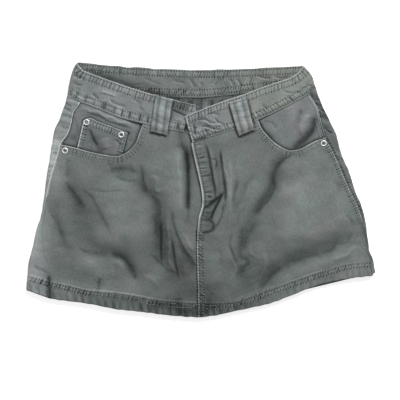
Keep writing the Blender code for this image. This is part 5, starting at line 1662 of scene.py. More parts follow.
BAND_SEAMS = {
    "left": [(-218.0, 154.0)] + [(row.seam_x, row.seam_y) for row in BAND_LEFT],
    "right": [(row.seam_x, row.seam_y) for row in BAND_RIGHT] + [(188.0, 168.0)],
}
BAND_TOPS = {
    "left": [(-204.0, 207.0)] + [(row.top_x, row.top_y) for row in BAND_LEFT],
    "right": [(row.top_x, row.top_y) for row in BAND_RIGHT] + [(169.0, 202.0)],
}
BAND_END = [BAND_SEAMS["right"][0], BAND_TOPS["right"][0]]
BAND_BACK_SEAM = [(-219.0, 155.0), (-110.0, 152.5), (0.0, 150.0), (94.0, 160.0), (188.0, 170.0)]
BAND_BACK_TOP = [(-203.0, 209.3), (-101.0, 200.4), (0.0, 196.5), (85.0, 199.0), (169.0, 203.5)]
BAND_FRONT_TRIMS = {
    "left": [
        Trim(BAND_SEAMS["left"], 1, (4.6, 12.6), 0.2, 0.4, 1.15, 15.6, 0.1, 0.16, 601),
        Trim(BAND_TOPS["left"], -1, (3.4, 12.4), 0.2, 0.4, 0.70, 6.2, 0.1, 0.24, 621),
    ],
    "right": [
        Trim(BAND_SEAMS["right"], 1, (4.6, 12.6), 0.2, 0.4, 0.55, 6.0, 0.3, 0.16, 611),
        Trim(BAND_TOPS["right"], -1, (3.4, 12.4), 0.2, 0.4, 0.55, 5.6, 0.3, 0.24, 631),
        Trim(BAND_END, -1, (3.6,), 0.2, 0.4, 0.35, 6.0, 0.0, 0.60, 641, 1.7),
    ],
}
BAND_BACK_TRIMS = [
    Trim(BAND_BACK_SEAM, 1, (4.6, 13.6), 0.2, 0.5, 0.95, 4.0, 0.15, 0.04, 651),
    Trim(BAND_BACK_TOP, -1, (3.4, 12.4), 0.2, 0.5, 0.75, 4.0, 0.25, 0.08, 661),
]
BACK_TOP_WAVER = Noise(15.0, 671, 0.9)
BACK_TOP_STEEPNESS = 8.0
# The lit side of each wrinkle of the waistband, beside its dark side
LIT_FLANK = 0.6
FLANK_X = 2.8
FLANK_Y = 1.8
# The pressed line between the waistband's lower row and its edge, on its right part, with painted shade
# in it
LOW_ROW_LINE = 3.0
LOW_ROW_WIDTH = 1.3
LOW_ROW_STARTS_X = (-30.0, -10.0)
LOW_ROW_DEPTH = 0.15
LOW_ROW_SHADE = 0.20
LOW_ROW_PATCHES = Noise(9.0, 617, 0.2)
BAND_CRUMPLE = 0.6
BAND_FAINT = 0.3
# A side of the waistband: its edges, wrinkles and painted shades, its tone, how much painted shade and
# light its wrinkles add to that and how much painted shade its faint creases take, its mottling, the
# fineness and seed of its faint creases, and its crumple's seed
BandLook = namedtuple("BandLook", "trims wrinkles shades tone ridges faint clouds fineness faint_seed seed")
FRONT_LOOK = BandLook(
    [*BAND_FRONT_TRIMS["left"], *BAND_FRONT_TRIMS["right"]],
    BAND_WRINKLES,
    SHADES,
    tone=0.592,
    ridges=0.13,
    faint=0.06,
    clouds=Noise(15.0, 66, 0.05),
    fineness=1.5,
    faint_seed=25,
    seed=21,
)
INSIDE_LOOK = BandLook(
    BAND_BACK_TRIMS,
    INSIDE_WRINKLES,
    INSIDE_SHADES,
    tone=0.525,
    ridges=0.17,
    faint=0.09,
    clouds=Noise(15.0, 67, 0.05),
    fineness=1.7,
    faint_seed=35,
    seed=22,
)
REAR_BAND_TONE = 0.57
PLAIN_INSIDE_TONE = 0.5
# Columns over which the relief in front and inside the waist ends beside the folds
END_COLUMNS = 6
# Where the waistband's dye turns warmer in front
WARM_X = (20.0, 110.0)


def band_half(side, share, depth):
    """Points round half the waistband, from the closure to the centre back, and their kinds.

    They lie at a share of its height and a depth in from its outer face. Their kind is 1 in front, 0
    round the fold and -1 behind.
    """
    sign = SIGN[side]
    rows = BANDS[side]
    stops = SIDE_STOPS[side]
    radius = 0.5 * (BAND_FRONT_HEIGHT - BAND_BACK_HEIGHT)
    lift = 0.5 * SEAM_GAP * (1.0 - share)
    edge_y = mix(stops["band"], stops["top"], share)
    front_y = edge_y - BAND_TOP_DROP[side] * share
    around_y = mix(front_y, edge_y, even(TURN_STEPS))
    turn_x = side_point(side, around_y, "edge")[:, 0] - sign * radius
    seam = np.stack([column(rows, "seam_x"), column(rows, "seam_y") + lift], axis=-1)
    top = np.stack([column(rows, "top_x"), column(rows, "top_y")], axis=-1)
    flat = along(mix(seam, top, share), even(BAND_COLUMNS - 1))
    if side == "left":
        flat = flat[::-1]
    to_turn = np.linspace(flat[-1], (turn_x[0], front_y + lift), TURN_STEPS)
    flat = np.concatenate([flat, to_turn[1:]])
    lap = LAPS[side] * LAP * lap_share(flat[:, 0], flat[:, 1])
    bend = radius - depth
    angles = np.pi * (0.5 - even(TURN_STEPS)[1:-1])
    around_x = turn_x[1:-1] + sign * bend * np.cos(angles)
    around_z = BAND_BACK_HEIGHT + radius + bend * np.sin(angles)
    centre = (0.0, mix(CENTRE_BACK["band"], CENTRE_BACK["top"], share) + lift)
    span = np.linspace((turn_x[-1], edge_y + lift), centre, BAND_BACK_COLUMNS)
    place = even(BAND_BACK_COLUMNS - 1)
    inside = ramp(BACK_TOP_STEEPNESS * place) * ramp(BACK_TOP_STEEPNESS * (1.0 - place))
    span[:, 1] -= BACK_TOP_SAG[side] * share * 4.0 * place * (1.0 - place)
    span[:, 1] += share * wavering(span[:, 0], BACK_TOP_WAVER) * inside
    parts = (
        with_height(flat, BAND_FRONT_HEIGHT + lap - depth),
        np.stack([around_x, around_y[1:-1] + lift, around_z], axis=-1),
        with_height(span, BAND_BACK_HEIGHT + depth),
    )
    return np.concatenate(parts), np.repeat((1, 0, -1), [len(part) for part in parts])


def band_row(share, depth):
    """Points round the waistband, from its left end to its right end, and their kinds."""
    left, right = (band_half(side, share, depth) for side in SIGN)
    return [np.concatenate([one, other[::-1][1:]]) for one, other in zip(left, right)]


def band_surface(x, y, look):
    """Rise and tone of a side of the waistband."""
    edges = trimmed(x, y, look.trims)
    depth = creases(x, y, look.wrinkles) - LIT_FLANK * creases(x + FLANK_X, y + FLANK_Y, look.wrinkles)
    faint = faint_creases(look.fineness * x, look.fineness * y, look.faint_seed)
    tone = look.tone + look.ridges * depth + clouded(x, y, look.clouds) - look.faint * faint
    rise = edges.height + depth + BAND_CRUMPLE * crumple(x, y, look.seed) - BAND_FAINT * faint
    return edges._replace(height=rise, tone=tone + shaded(x, y, look.shades) + edges.tone)


def band_front_surface(x, y):
    """Rise and tone of the waistband's outer face in front."""
    face = band_surface(x, y, FRONT_LOOK)
    away, _, hand = from_line(x, y, BAND_SEAMS["right"], LONG_LINE_SAMPLES)
    pressed = bell(away * hand - LOW_ROW_LINE, LOW_ROW_WIDTH) * between(x, *LOW_ROW_STARTS_X)
    tone = face.tone - LOW_ROW_SHADE * varied(x, LOW_ROW_PATCHES) * pressed
    return face._replace(height=face.height - LOW_ROW_DEPTH * pressed, tone=tone)


def eased_ends(chosen):
    """1 where chosen, easing to 0 over a few columns at its ends."""
    weight = chosen.astype(float)
    for _ in range(END_COLUMNS):
        weight = np.minimum(weight, 0.25 * np.roll(weight, 1) + 0.5 * weight + 0.25 * np.roll(weight, -1))
    weight[[0, -1]] = chosen[[0, -1]]
    return weight


def waistband():
    """One band from its left end, round the back, to its right end, which laps over the left one."""
    shares = even(BAND_ROWS - 1)
    outer, inner = (np.array([band_row(share, depth)[0] for share in shares]) for depth in (0.0, BAND_CLOTH))
    kinds = band_row(0.0, 0.0)[1]
    in_front = eased_ends(kinds == 1)
    behind = eased_ends(kinds == -1)
    front = band_front_surface(outer[..., 0], outer[..., 1])
    inside = band_surface(inner[..., 0], inner[..., 1], INSIDE_LOOK)
    rear = trimmed(outer[..., 0], outer[..., 1], BAND_BACK_TRIMS)
    outer[..., 2] += front.height * in_front + hollows(rear.height) * behind
    inner[..., 2] += inside.height * behind
    front = front._replace(
        tone=mix(REAR_BAND_TONE + rear.tone * behind, front.tone, in_front),
        away=np.where(in_front > 0, front.away, np.where(behind > 0, rear.away, FAR)),
        run=np.where(in_front > 0, front.run, rear.run),
    )
    inside = inside._replace(
        tone=mix(PLAIN_INSIDE_TONE, inside.tone, behind),
        away=np.where(behind > 0, inside.away, FAR),
    )
    up = np.linalg.norm(outer - outer[:1], axis=-1)
    cut = np.stack([np.broadcast_to(run_lengths(outer[0]), up.shape), up], axis=-1)
    band = shell("cloth_waistband", outer, inner, front, DENIM, cut, inside, WORN_RIM)
    x, _, z = np.array([point.co for point in band.data.vertices]).T / MM
    inside_only = between(z, BAND_BACK_HEIGHT, BAND_BACK_HEIGHT + BAND_CLOTH)
    warmth = mix(inside_only, between(x, *WARM_X), ramp(z - 0.5 * BAND_FRONT_HEIGHT))
    store_value(band.data, "warmth", warmth)
    return band


# ---------------------------------------------------------------- belt loops

# Ridges and grooves along a front loop: place across it, width, height, and 1 for those that sway
LOOP_RIDGES = ((0.5, 0.10, 0.75, 1), (0.1, 0.06, 0.35, 0), (0.92, 0.06, 0.35, 0), (0.62, 0.06, 0.3, 1))
LOOP_GROOVES = ((0.27, 0.055, 0.5, 1), (0.74, 0.055, 0.45, 1))
# What a front loop's ridges, grooves, tucked ends and lumps add to its height, and to its tone as
# painted light on the ridges and raised lumps and painted shade in the grooves and tucked ends
LOOP_RISES = (1.0, -1.0, -0.45, 0.12)
LOOP_TONES = (0.18, -0.42, -0.20, 0.08)
# Noise over the length of a front loop: its sway, its lumps, its fine lumps and its mottling
LOOP_NOISE = (
    Noise(1.0 / 5.0, 0, 0.05),
    Noise(1.0 / 9.0, 1, 1.0),
    Noise(1.0 / 17.0, 2, 0.08),
    Noise(1.0 / 23.0, 3, 0.05),
)
FINE_LUMPS_SLANT = 2.0 / 17.0
LOOP_MOTTLE_SLANT = 3.0 / 23.0
# The back loops' hollows along their threads, with painted shade in them
LOOP_HOLLOW = 0.35
LOOP_HOLLOW_WIDTH = 0.05
LOOP_HOLLOW_SHADE = 0.3
FRONT_LOOP_TONE = 0.59
BACK_LOOP_TONE = 0.6
LOOP_TUCKS = (0.05, 0.95)
LOOP_TUCK_WIDTH = 0.035
LOOP_SEEDS = {"loop_front_right": 701, "loop_front_left": 711}
# Places across a loop of its two rows of threads, and rows of its grid with a bar of threads
LOOP_THREADS = (0.24, 0.76)
LOOP_BARS = (2, LOOP_ROWS - 2)
# How far inside its share of the row each of those threads starts and ends
LOOP_THREAD_STARTS = 0.004
LOOP_THREAD_ENDS = 0.010
BAR_THREADS = 22
BAR_SPAN = (0.03, 0.97)
BAR_THREAD = (0.25, 1.3, 0.0)


def front_loop_sides(name):
    """Grid of a belt loop in front, the heights of its outer and inner faces, and its tone."""
    corners = FRONT_LOOPS[name]
    sways, lumps, fine_lumps, mottle = (seeded(noise, LOOP_SEEDS[name]) for noise in LOOP_NOISE)
    across = even(LOOP_COLUMNS)
    up = even(LOOP_ROWS)[:, None]
    left = np.linspace(corners.foot_left, corners.top_left, LOOP_ROWS + 1)
    right = np.linspace(corners.foot_right, corners.top_right, LOOP_ROWS + 1)
    grid = mix(left[:, None], right[:, None], across[None, :, None])
    lap = LAP * lap_share(grid[..., 0], grid[..., 1]) if "right" in name else 0.0
    low = BAND_FRONT_HEIGHT + LOOP_SPARE + lap + LAYER_GAP + LOOP_ARCH * np.sin(np.pi * up)
    sway = wavering(up, sways)
    ridges, grooves = (
        sum(depth * bell(across - place - bends * sway, width) for place, width, depth, bends in lines)
        for lines in (LOOP_RIDGES, LOOP_GROOVES)
    )
    ends = sum(bell(up - place, LOOP_TUCK_WIDTH) for place in LOOP_TUCKS)
    forms = (ridges, grooves, ends, wavering(up, lumps))
    rise, tone = (sum(map(np.multiply, shares, forms)) for shares in (LOOP_RISES, LOOP_TONES))
    rise = rise + wavering(up + FINE_LUMPS_SLANT * across, fine_lumps)
    tone = tone + wavering(up + LOOP_MOTTLE_SLANT * across, mottle)
    return grid, low + LOOP_CLOTH + rise, low, FRONT_LOOP_TONE + tone


def back_loop_sides(name):
    """The same of a belt loop behind, pressed flat between the waistband and the surface."""
    middle = BACK_LOOP_PLACES[name]
    side = "left" if middle < 0.0 else "right"
    stops = SIDE_STOPS[side]
    reach = abs(middle / side_point(side, stops["band"], "edge")[0])
    foot = mix(CENTRE_BACK["band"], stops["band"], reach) - LOOP_BELOW_BAND
    head = mix(CENTRE_BACK["top"], stops["top"], reach) - LOOP_BELOW_TOP
    across = even(LOOP_COLUMNS)
    xs = middle + (across - 0.5) * LOOP_WIDTH
    grid = np.stack(np.meshgrid(xs, np.linspace(foot, head, LOOP_ROWS + 1)), axis=-1)
    hollow = LOOP_HOLLOW * sum(bell(across - place, LOOP_HOLLOW_WIDTH) for place in LOOP_THREADS)
    hollow = np.broadcast_to(hollow, grid.shape[:2])
    return grid, hollow, LOOP_CLOTH, BACK_LOOP_TONE - LOOP_HOLLOW_SHADE * hollow


def loop_sides(name):
    return front_loop_sides(name) if name in FRONT_LOOPS else back_loop_sides(name)


def loop(name):
    grid, outer, inner, tone = loop_sides(name)
    sides = (with_height(grid, outer), with_height(grid, inner))
    return shell("cloth_" + name, *sides, plain(tone), DENIM, worn_rim=WORN_RIM)


# ---------------------------------------------------------------- stitches

STITCH_LENGTH = 3.3
STITCH_WIDTH = 0.5
STITCH_HEIGHT = 0.35
STITCH_JITTER = 0.25
STITCH_SUNK = 0.06
# A thread is full between these shares of its length, and its ends dip into the cloth
STITCH_FULL = (0.16, 0.84)
STITCH_DIP = 0.2
# Corners of a thread: its start, two rings of four, and its end
THREAD_POINTS = 10
THREAD_START_FACES = [(0, 1, 2), (0, 2, 3), (0, 3, 4), (0, 4, 1)]


def thread_faces():
    """Triangles of one thread."""
    faces = list(THREAD_START_FACES)
    for corner in range(4):
        low, low_after = 1 + corner, 1 + (corner + 1) % 4
        high, high_after = low + 4, low_after + 4
        faces += [(low, high, low_after), (low_after, high, high_after)]
        faces.append((high, THREAD_POINTS - 1, high_after))
    return np.array(faces)


def threads(name, starts, ends, toward):
    """One mesh of threads, each a slim lozenge from a start to an end point, facing up or down."""
    run = ends - starts
    run /= np.linalg.norm(run, axis=1)[:, None]
    up = np.broadcast_to((0.0, 0.0, toward), run.shape)
    aside = np.cross(run, up) * STITCH_WIDTH
    ring = (-aside, up * STITCH_HEIGHT, aside, -up * STITCH_HEIGHT)
    rings = [mix(starts, ends, share) + reach for share in STITCH_FULL for reach in ring]
    points = np.stack([starts - STITCH_DIP * up, *rings, ends - STITCH_DIP * up], axis=1)
    firsts = THREAD_POINTS * np.arange(len(starts))[:, None, None]
    faces = (firsts + thread_faces()).reshape(-1, 3)
    if toward > 0.0:
        faces = faces[:, ::-1]
    piece = piece_of(name, points.reshape(-1, 3), faces.tolist(), THREAD)
    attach(piece, "root")
    return piece


def stitch_places(line, hand, row, seed):
    """Start and end places of the stitches of one row beside a line."""
    count = stitch_count(line)
    middles = (np.arange(count) + 0.5) / count
    half = 0.5 * STITCH_LENGTH / length_of(line)
    starts = along(line, middles - half)
    ends = along(line, middles + half)
    aside = hand * row * sideways(ends - starts)
    jitter = np.random.RandomState(seed).uniform(-STITCH_JITTER, STITCH_JITTER, (2, count, 2))
    return starts + aside + jitter[0], ends + aside + jitter[1]


def stitched(name, rows, surface, toward=1.0, sunk=STITCH_SUNK):
    """Rows of stitches on a surface, given as (line, hand, distance, seed)."""
    places = zip(*(stitch_places(*row) for row in rows))
    starts, ends = (np.concatenate(spots) for spots in places)
    starts, ends = (
        with_height(spots, surface(spots[:, 0], spots[:, 1]) + toward * sunk) for spots in (starts, ends)
    )
    return threads(name, starts, ends, toward)


def rows_of(trims):
    rows = [(trim, index, row) for trim in trims for index, row in enumerate(trim.rows)]
    return [(trim.line, trim.hand, row, trim.seed + index) for trim, index, row in rows]


def front_thread_height(side, x, y):
    return front_surface(side, x, y).height


def back_thread_height(side, x, y):
    return np.maximum(back_height(x, y) + hollows(trimmed(x, y, BACK_TRIMS[side]).height), STITCH_HEIGHT)


def band_thread_height(side, x, y):
    return BAND_FRONT_HEIGHT + LAPS[side] * LAP * lap_share(x, y) + band_front_surface(x, y).height


def inside_thread_height(x, y):
    return BAND_BACK_HEIGHT + BAND_CLOTH + band_surface(x, y, INSIDE_LOOK).height


def behind_thread_height(x, y):
    return BAND_BACK_HEIGHT + hollows(trimmed(x, y, BAND_BACK_TRIMS).height)


def coin_thread_height(x, y):
    return coin_surface(x, y).height


def front_stitches(side):
    """Rows of a front panel. The hem's rows end where the fly's edge crosses them."""
    rows = []
    for line, *place in rows_of(FRONT_TRIMS[side][: SEWN_EDGES[side]]):
        if line is HEM_TOP_LINE:
            line = [point for point in line if SIGN[side] * (point[0] - FLY_EDGE[0][0]) >= 0.0]
        rows.append((line, *place))
    return stitched("stitches_front_" + side, rows, partial(front_thread_height, side))


def back_stitches(side):
    surface = partial(back_thread_height, side)
    return stitched("stitches_back_" + side, rows_of(BACK_TRIMS[side]), surface, toward=-1.0, sunk=0.0)


def band_stitches():
    names = ["left", "right", "inside", "behind"]
    trims = [*BAND_FRONT_TRIMS.values(), BAND_BACK_TRIMS, BAND_BACK_TRIMS]
    surfaces = [partial(band_thread_height, side) for side in SIGN]
    surfaces += [inside_thread_height, behind_thread_height]
    return [
        stitched("stitches_band_" + name, rows_of(edges), surface, toward=-1.0 if name == "behind" else 1.0)
        for name, edges, surface in zip(names, trims, surfaces)
    ]


def loop_stitches(name):
    """Two rows of threads along a loop and a bar of threads across each end."""
    grid, height, _, _ = loop_sides(name)
    toward = 1.0
    if name in BACK_LOOP_PLACES:
        height = np.maximum(height, STITCH_HEIGHT)
        toward = -1.0
    places = with_height(grid, height)
    spots = []
    for share in LOOP_THREADS:
        line = places[2:-2, int(round(share * LOOP_COLUMNS))]
        cuts = even(int(length_of(line) / STITCH_PITCH))
        spots.append((along(line, cuts[:-1] + LOOP_THREAD_STARTS), along(line, cuts[1:] - LOOP_THREAD_ENDS)))
    for row in LOOP_BARS:
        middles = along(places[row, 1:-1], np.linspace(*BAR_SPAN, BAR_THREADS))
        spots.append((middles - BAR_THREAD, middles + BAR_THREAD))
    starts, ends = (np.concatenate(ones) for ones in zip(*spots))
    return threads("stitches_" + name, starts, ends, toward)


# ---------------------------------------------------------------- rivets

RIVET_PROFILE = [
    (4.75, 0.0), (4.75, 0.35), (4.6, 0.75), (4.3, 1.02), (3.9, 1.08), (3.5, 0.95), (3.2, 0.62),
    (3.0, 0.45), (2.0, 0.42), (1.8, 0.62), (1.5, 0.80), (1.2, 0.78), (0.8, 0.40), (0.0, 0.34),
]
RIVET_SIDES = 48
RIVET_RING_RADIUS = 3.9
RIVET_HOLE_RADIUS = 1.7
RIVET_SUNK = 0.3
# The dark steel is painted shade, on the rivet's centre over its nub and on the foot of its side
BRIGHT, PAINTED_SHADE, DULL = range(3)


def rivet_look(ring):
    """Which of the rivet's steels the faces above a ring of its profile have."""
    radius = RIVET_PROFILE[ring][0]
    if radius < RIVET_HOLE_RADIUS or ring == 0:
        return PAINTED_SHADE
    return DULL if radius < RIVET_RING_RADIUS else BRIGHT


def rivet(node):
    """Ring and nub of a rivet, turned about its axis, on its CAD seat."""
    low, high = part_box(node)
    middle = 0.5 * (low + high)
    turns = 2.0 * np.pi * np.arange(RIVET_SIDES) / RIVET_SIDES
    radii, heights = np.array(RIVET_PROFILE[:-1]).T[:, :, None]
    rings = np.stack([radii * np.cos(turns), radii * np.sin(turns), heights + 0.0 * turns], axis=-1)
    points = np.concatenate([rings.reshape(-1, 3), [(0.0, 0.0, RIVET_PROFILE[-1][1])]])
    corners = np.arange(len(points) - 1).reshape(-1, RIVET_SIDES)
    onward = np.roll(corners, -1, axis=1)
    faces = [corners[0, ::-1].tolist()]
    looks = [BRIGHT]
    for ring in range(len(corners) - 1):
        quads = [corners[ring], onward[ring], onward[ring + 1], corners[ring + 1]]
        faces += np.stack(quads, axis=-1).tolist()
        looks += [rivet_look(ring)] * RIVET_SIDES
    tip = np.full(RIVET_SIDES, len(points) - 1)
    faces += np.stack([corners[-1], onward[-1], tip], axis=-1).tolist()
    looks += [PAINTED_SHADE] * RIVET_SIDES
    place = (middle.x, middle.y, low.z - RIVET_SUNK * MM)
    piece = piece_of("metal_" + node, points, faces, STEEL, STEEL_PAINTED_SHADE, STEEL_DULL, place=place)
    piece.data.polygons.foreach_set("material_index", looks)
    return piece


# ---------------------------------------------------------------- materials

# The cloth's colours over its tone, from the darkest painted shade in the creases to the rubbed, lightest
# edges
TONE_COLOURS = [
    (0.0, (30, 35, 34)),
    (0.25, (70, 75, 73)),
    (0.5, (112, 117, 115)),
    (0.75, (152, 156, 154)),
    (1.0, (204, 206, 204)),
]
CLOUD_COLOURS = [(0.36, (254, 250, 250)), (0.62, (246, 254, 252))]
WARM_COLOURS = [(0.0, (255, 255, 255)), (1.0, (255, 254, 246))]
THREAD_COLOURS = [(0.1, (104, 111, 107)), (0.9, (162, 167, 163))]
YARN_SLANT = math.radians(62.0)
RIB_PITCH = 0.00085
YARN_PITCH = 0.00045
TWIST_PITCH = 0.0006
TWIST_SLANT = 0.8
# Scale, detail and roughness of the denim's noises, and how the slubs are drawn out along the warp
CLOUD_NOISE = (38.0, 4.0, 0.6)
SLUB_NOISE = (1.0, 3.0, 0.65)
SLUB_STRETCH = (900.0, 120.0, 1.0)
FLECK_NOISE = (620.0, 3.0, 0.7)
GRAIN_NOISE = (260.0, 3.0, 0.65)
HUE_NOISE = (17.0, 3.0, 0.6)
STEEL_NOISE = (900.0, 3.0, 0.6)
THREAD_MOTTLE_SCALE = 180.0
# How fast a needle hole ends beside its row, the middle and the swing of its depth along the row, and
# how much painted shade it puts in the tone and what it takes from the bumps
HOLE_FALL = 0.62
HOLE_MIDDLE = 0.42
HOLE_WAVE = 0.58
HOLE_TONE = 0.80
HOLE_DEPTH = 2.4
# Bands repeat at this length at a scale of 1
BAND_LENGTH = 2.0 * math.pi / 20.0


def linear(colour):
    """Linear values of a colour given as 0 to 255."""
    shares = [value / 255.0 for value in colour]
    return [share / 12.92 if share <= 0.04045 else ((share + 0.055) / 1.055) ** 2.4 for share in shares]


def fill(node, values):
    """Give a node's inputs their values."""
    for name, value in values.items():
        node.inputs[name].default_value = value


class Nodes:
    """The node tree of a material or world, with short calls to add and join its nodes."""

    def __init__(self, owner):
        owner.use_nodes = True
        self.owner = owner
        self.tree = owner.node_tree

    def add(self, kind, **settings):
        node = self.tree.nodes.new("ShaderNode" + kind)
        for name, value in settings.items():
            setattr(node, name, value)
        return node

    def join(self, source, socket):
        self.tree.links.new(source, socket)

    def maths(self, operation, one, two, **settings):
        node = self.add("Math", operation=operation, **settings)
        for socket, value in zip(node.inputs, (one, two)):
            if isinstance(value, (int, float)):
                socket.default_value = value
            else:
                self.join(value, socket)
        return node.outputs[0]

    def plus(self, total, value, share):
        """A value added in the given share."""
        return self.maths("ADD", total, self.maths("MULTIPLY", value, share))

    def attribute(self, name):
        return self.add("Attribute", attribute_name=name).outputs["Fac"]

    def noise(self, vector, scale, detail=2.0, roughness=0.5):
        node = self.add("TexNoise")
        fill(node, {"Scale": scale, "Detail": detail, "Roughness": roughness})
        self.join(vector, node.inputs["Vector"])
        return node.outputs["Fac"]

    def stretched(self, vector, scale=(1.0, 1.0, 1.0), turn=0.0):
        node = self.add("Mapping")
        fill(node, {"Scale": scale, "Rotation": (0.0, 0.0, turn)})
        self.join(vector, node.inputs["Vector"])
        return node.outputs["Vector"]

    def bands(self, vector, pitch, distortion=0.0):
        node = self.add("TexWave", wave_type="BANDS", bands_direction="X", wave_profile="SIN")
        fill(node, {"Scale": BAND_LENGTH / pitch, "Distortion": distortion, "Detail": 1.0})
        self.join(vector, node.inputs["Vector"])
        return node.outputs["Fac"]

    def coloured(self, factor, stops):
        """Colour for a factor, from stops given as a place and a colour."""
        node = self.add("ValToRGB")
        elements = node.color_ramp.elements
        while len(elements) < len(stops):
            elements.new(0.5)
        for element, (place, colour) in zip(elements, stops):
            element.position = place
            element.color = (*linear(colour), 1.0)
        self.join(factor, node.inputs["Fac"])
        return node.outputs["Color"]

    def multiplied(self, one, other):
        node = self.add("MixRGB", blend_type="MULTIPLY")
        fill(node, {"Fac": 1.0})
        self.join(one, node.inputs["Color1"])
        self.join(other, node.inputs["Color2"])
        return node.outputs["Color"]

    def finish(self, colour, bumps, strength, distance, values):
        """Join the shader's colour and bumps, set its other values, and give the material."""
        shader = self.tree.nodes["Principled BSDF"]
        node = self.add("Bump")
        fill(node, {"Strength": strength, "Distance": distance})
        self.join(bumps, node.inputs["Height"])
        self.join(node.outputs["Normal"], shader.inputs["Normal"])
        self.join(colour, shader.inputs["Base Color"])
        fill(shader, values)
        return self.owner

    def roughness(self, value):
        self.join(value, self.tree.nodes["Principled BSDF"].inputs["Roughness"])


def needle_holes(nodes):
    """1 in the small dips where the needle went through, between two stitches of a row."""
    away = nodes.attribute("stitch_away")
    run = nodes.attribute("stitch_run")
    fallen = nodes.maths("SUBTRACT", 1.0, nodes.maths("MULTIPLY", away, HOLE_FALL))
    beside = nodes.maths("MAXIMUM", fallen, 0.0)
    wave = nodes.maths("COSINE", nodes.maths("MULTIPLY", run, 2.0 * math.pi), 0.0)
    return nodes.maths("MULTIPLY", beside, nodes.plus(HOLE_MIDDLE, wave, HOLE_WAVE))


def denim(name, tint):
    """Twill after washing: slanting ribs of pale and dark yarn, slubs along the warp and cloudy mottling.

    The cloth's tone attribute holds its mottling and rubbed edges together with painted shade in creases,
    tucks and beside edges and painted light on ridges, puffs and some edges; the needle holes add painted
    shade.
    """
    nodes = Nodes(bpy.data.materials.new(name))
    cut = nodes.add("UVMap", uv_map="cut").outputs["UV"]
    mixed = nodes.attribute("tone")
    cloud = nodes.noise(cut, *CLOUD_NOISE)
    slub = nodes.noise(nodes.stretched(cut, SLUB_STRETCH), *SLUB_NOISE)
    fleck = nodes.noise(cut, *FLECK_NOISE)
    ribs = nodes.bands(nodes.stretched(cut, turn=YARN_SLANT), RIB_PITCH, 0.6)
    yarn = nodes.bands(nodes.stretched(cut), YARN_PITCH, 0.8)
    holes = needle_holes(nodes)
    grain = nodes.noise(cut, *GRAIN_NOISE)
    for value, share in ((cloud, 0.12), (slub, 0.22), (grain, 0.22), (fleck, 0.22), (ribs, 0.07)):
        mixed = nodes.plus(mixed, nodes.maths("SUBTRACT", value, 0.5), share)
    # Painted shade in the needle holes
    hole_shade = nodes.maths("MULTIPLY", holes, nodes.maths("MULTIPLY", grain, HOLE_TONE))
    mixed = nodes.maths("SUBTRACT", mixed, hole_shade)
    tone_colours = [(place, [value * share for value, share in zip(colour, tint)]) for place, colour in TONE_COLOURS]
    hue = nodes.coloured(nodes.noise(cut, *HUE_NOISE), CLOUD_COLOURS)
    warmer = nodes.coloured(nodes.attribute("warmth"), WARM_COLOURS)
    base_colour = nodes.multiplied(nodes.multiplied(nodes.coloured(mixed, tone_colours), hue), warmer)
    nodes.roughness(nodes.plus(0.80, fleck, 0.15))
    bumps = ribs
    for value, share in ((yarn, 0.4), (slub, 1.2), (fleck, 0.8)):
        bumps = nodes.plus(bumps, value, share)
    bumps = nodes.maths("SUBTRACT", bumps, nodes.maths("MULTIPLY", holes, HOLE_DEPTH))
    values = {"Specular IOR Level": 0.18, "Sheen Weight": 0.10, "Sheen Roughness": 0.5}
    return nodes.finish(base_colour, bumps, 0.55, 0.00022, values)


def thread():
    nodes = Nodes(bpy.data.materials.new("thread"))
    place = nodes.add("TexCoord").outputs["Object"]
    twist = nodes.bands(nodes.stretched(place, turn=TWIST_SLANT), TWIST_PITCH)
    mottle = nodes.noise(place, THREAD_MOTTLE_SCALE)
    colour = nodes.coloured(nodes.plus(nodes.maths("MULTIPLY", twist, 0.4), mottle, 0.6), THREAD_COLOURS)
    return nodes.finish(colour, twist, 0.4, 0.0001, {"Roughness": 0.75, "Specular IOR Level": 0.25})


def steel(name, dark, light, roughness):
    """Steel with a mottled skin, from a dark to a light grey."""
    nodes = Nodes(bpy.data.materials.new(name))
    mottle = nodes.noise(nodes.add("TexCoord").outputs["Object"], *STEEL_NOISE)
    colour = nodes.coloured(mottle, [(0.3, dark), (0.7, light)])
    nodes.roughness(nodes.plus(roughness, mottle, 0.2))
    return nodes.finish(colour, mottle, 0.2, 0.0001, {"Metallic": 1.0})


DENIM = denim("denim", (1.006, 1.0, 1.018))
DENIM_FRONT = denim("denim_front", (1.010, 1.012, 1.010))
DENIM_FACING = denim("denim_facing", (1.0, 0.985, 1.01))
THREAD = thread()
STEEL = steel("rivet_steel", (200, 200, 200), (234, 234, 234), 0.38)
STEEL_DULL = steel("rivet_plate", (84, 86, 86), (124, 126, 126), 0.5)
# Painted shade for the rivets' centres and the feet of their sides
STEEL_PAINTED_SHADE = steel("rivet_painted_shade", (40, 40, 42), (74, 74, 76), 0.5)


# ---------------------------------------------------------------- pieces

# The least share of its box that a flat cut's area is taken to fill
LEAST_SHARE = 0.3


def dress(piece, node):
    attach(piece, "root")
    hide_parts(node)


def lay(piece, node, with_pieces=()):
    """Put a piece of cloth in its node's place, and work out the width, length and area of its flat cut.

    The pieces given with it are not used.
    """
    dress(piece, node)
    width, length, area = CUT_SIZES[piece.name]
    area = min(max(area, LEAST_SHARE * width * length), width * length)


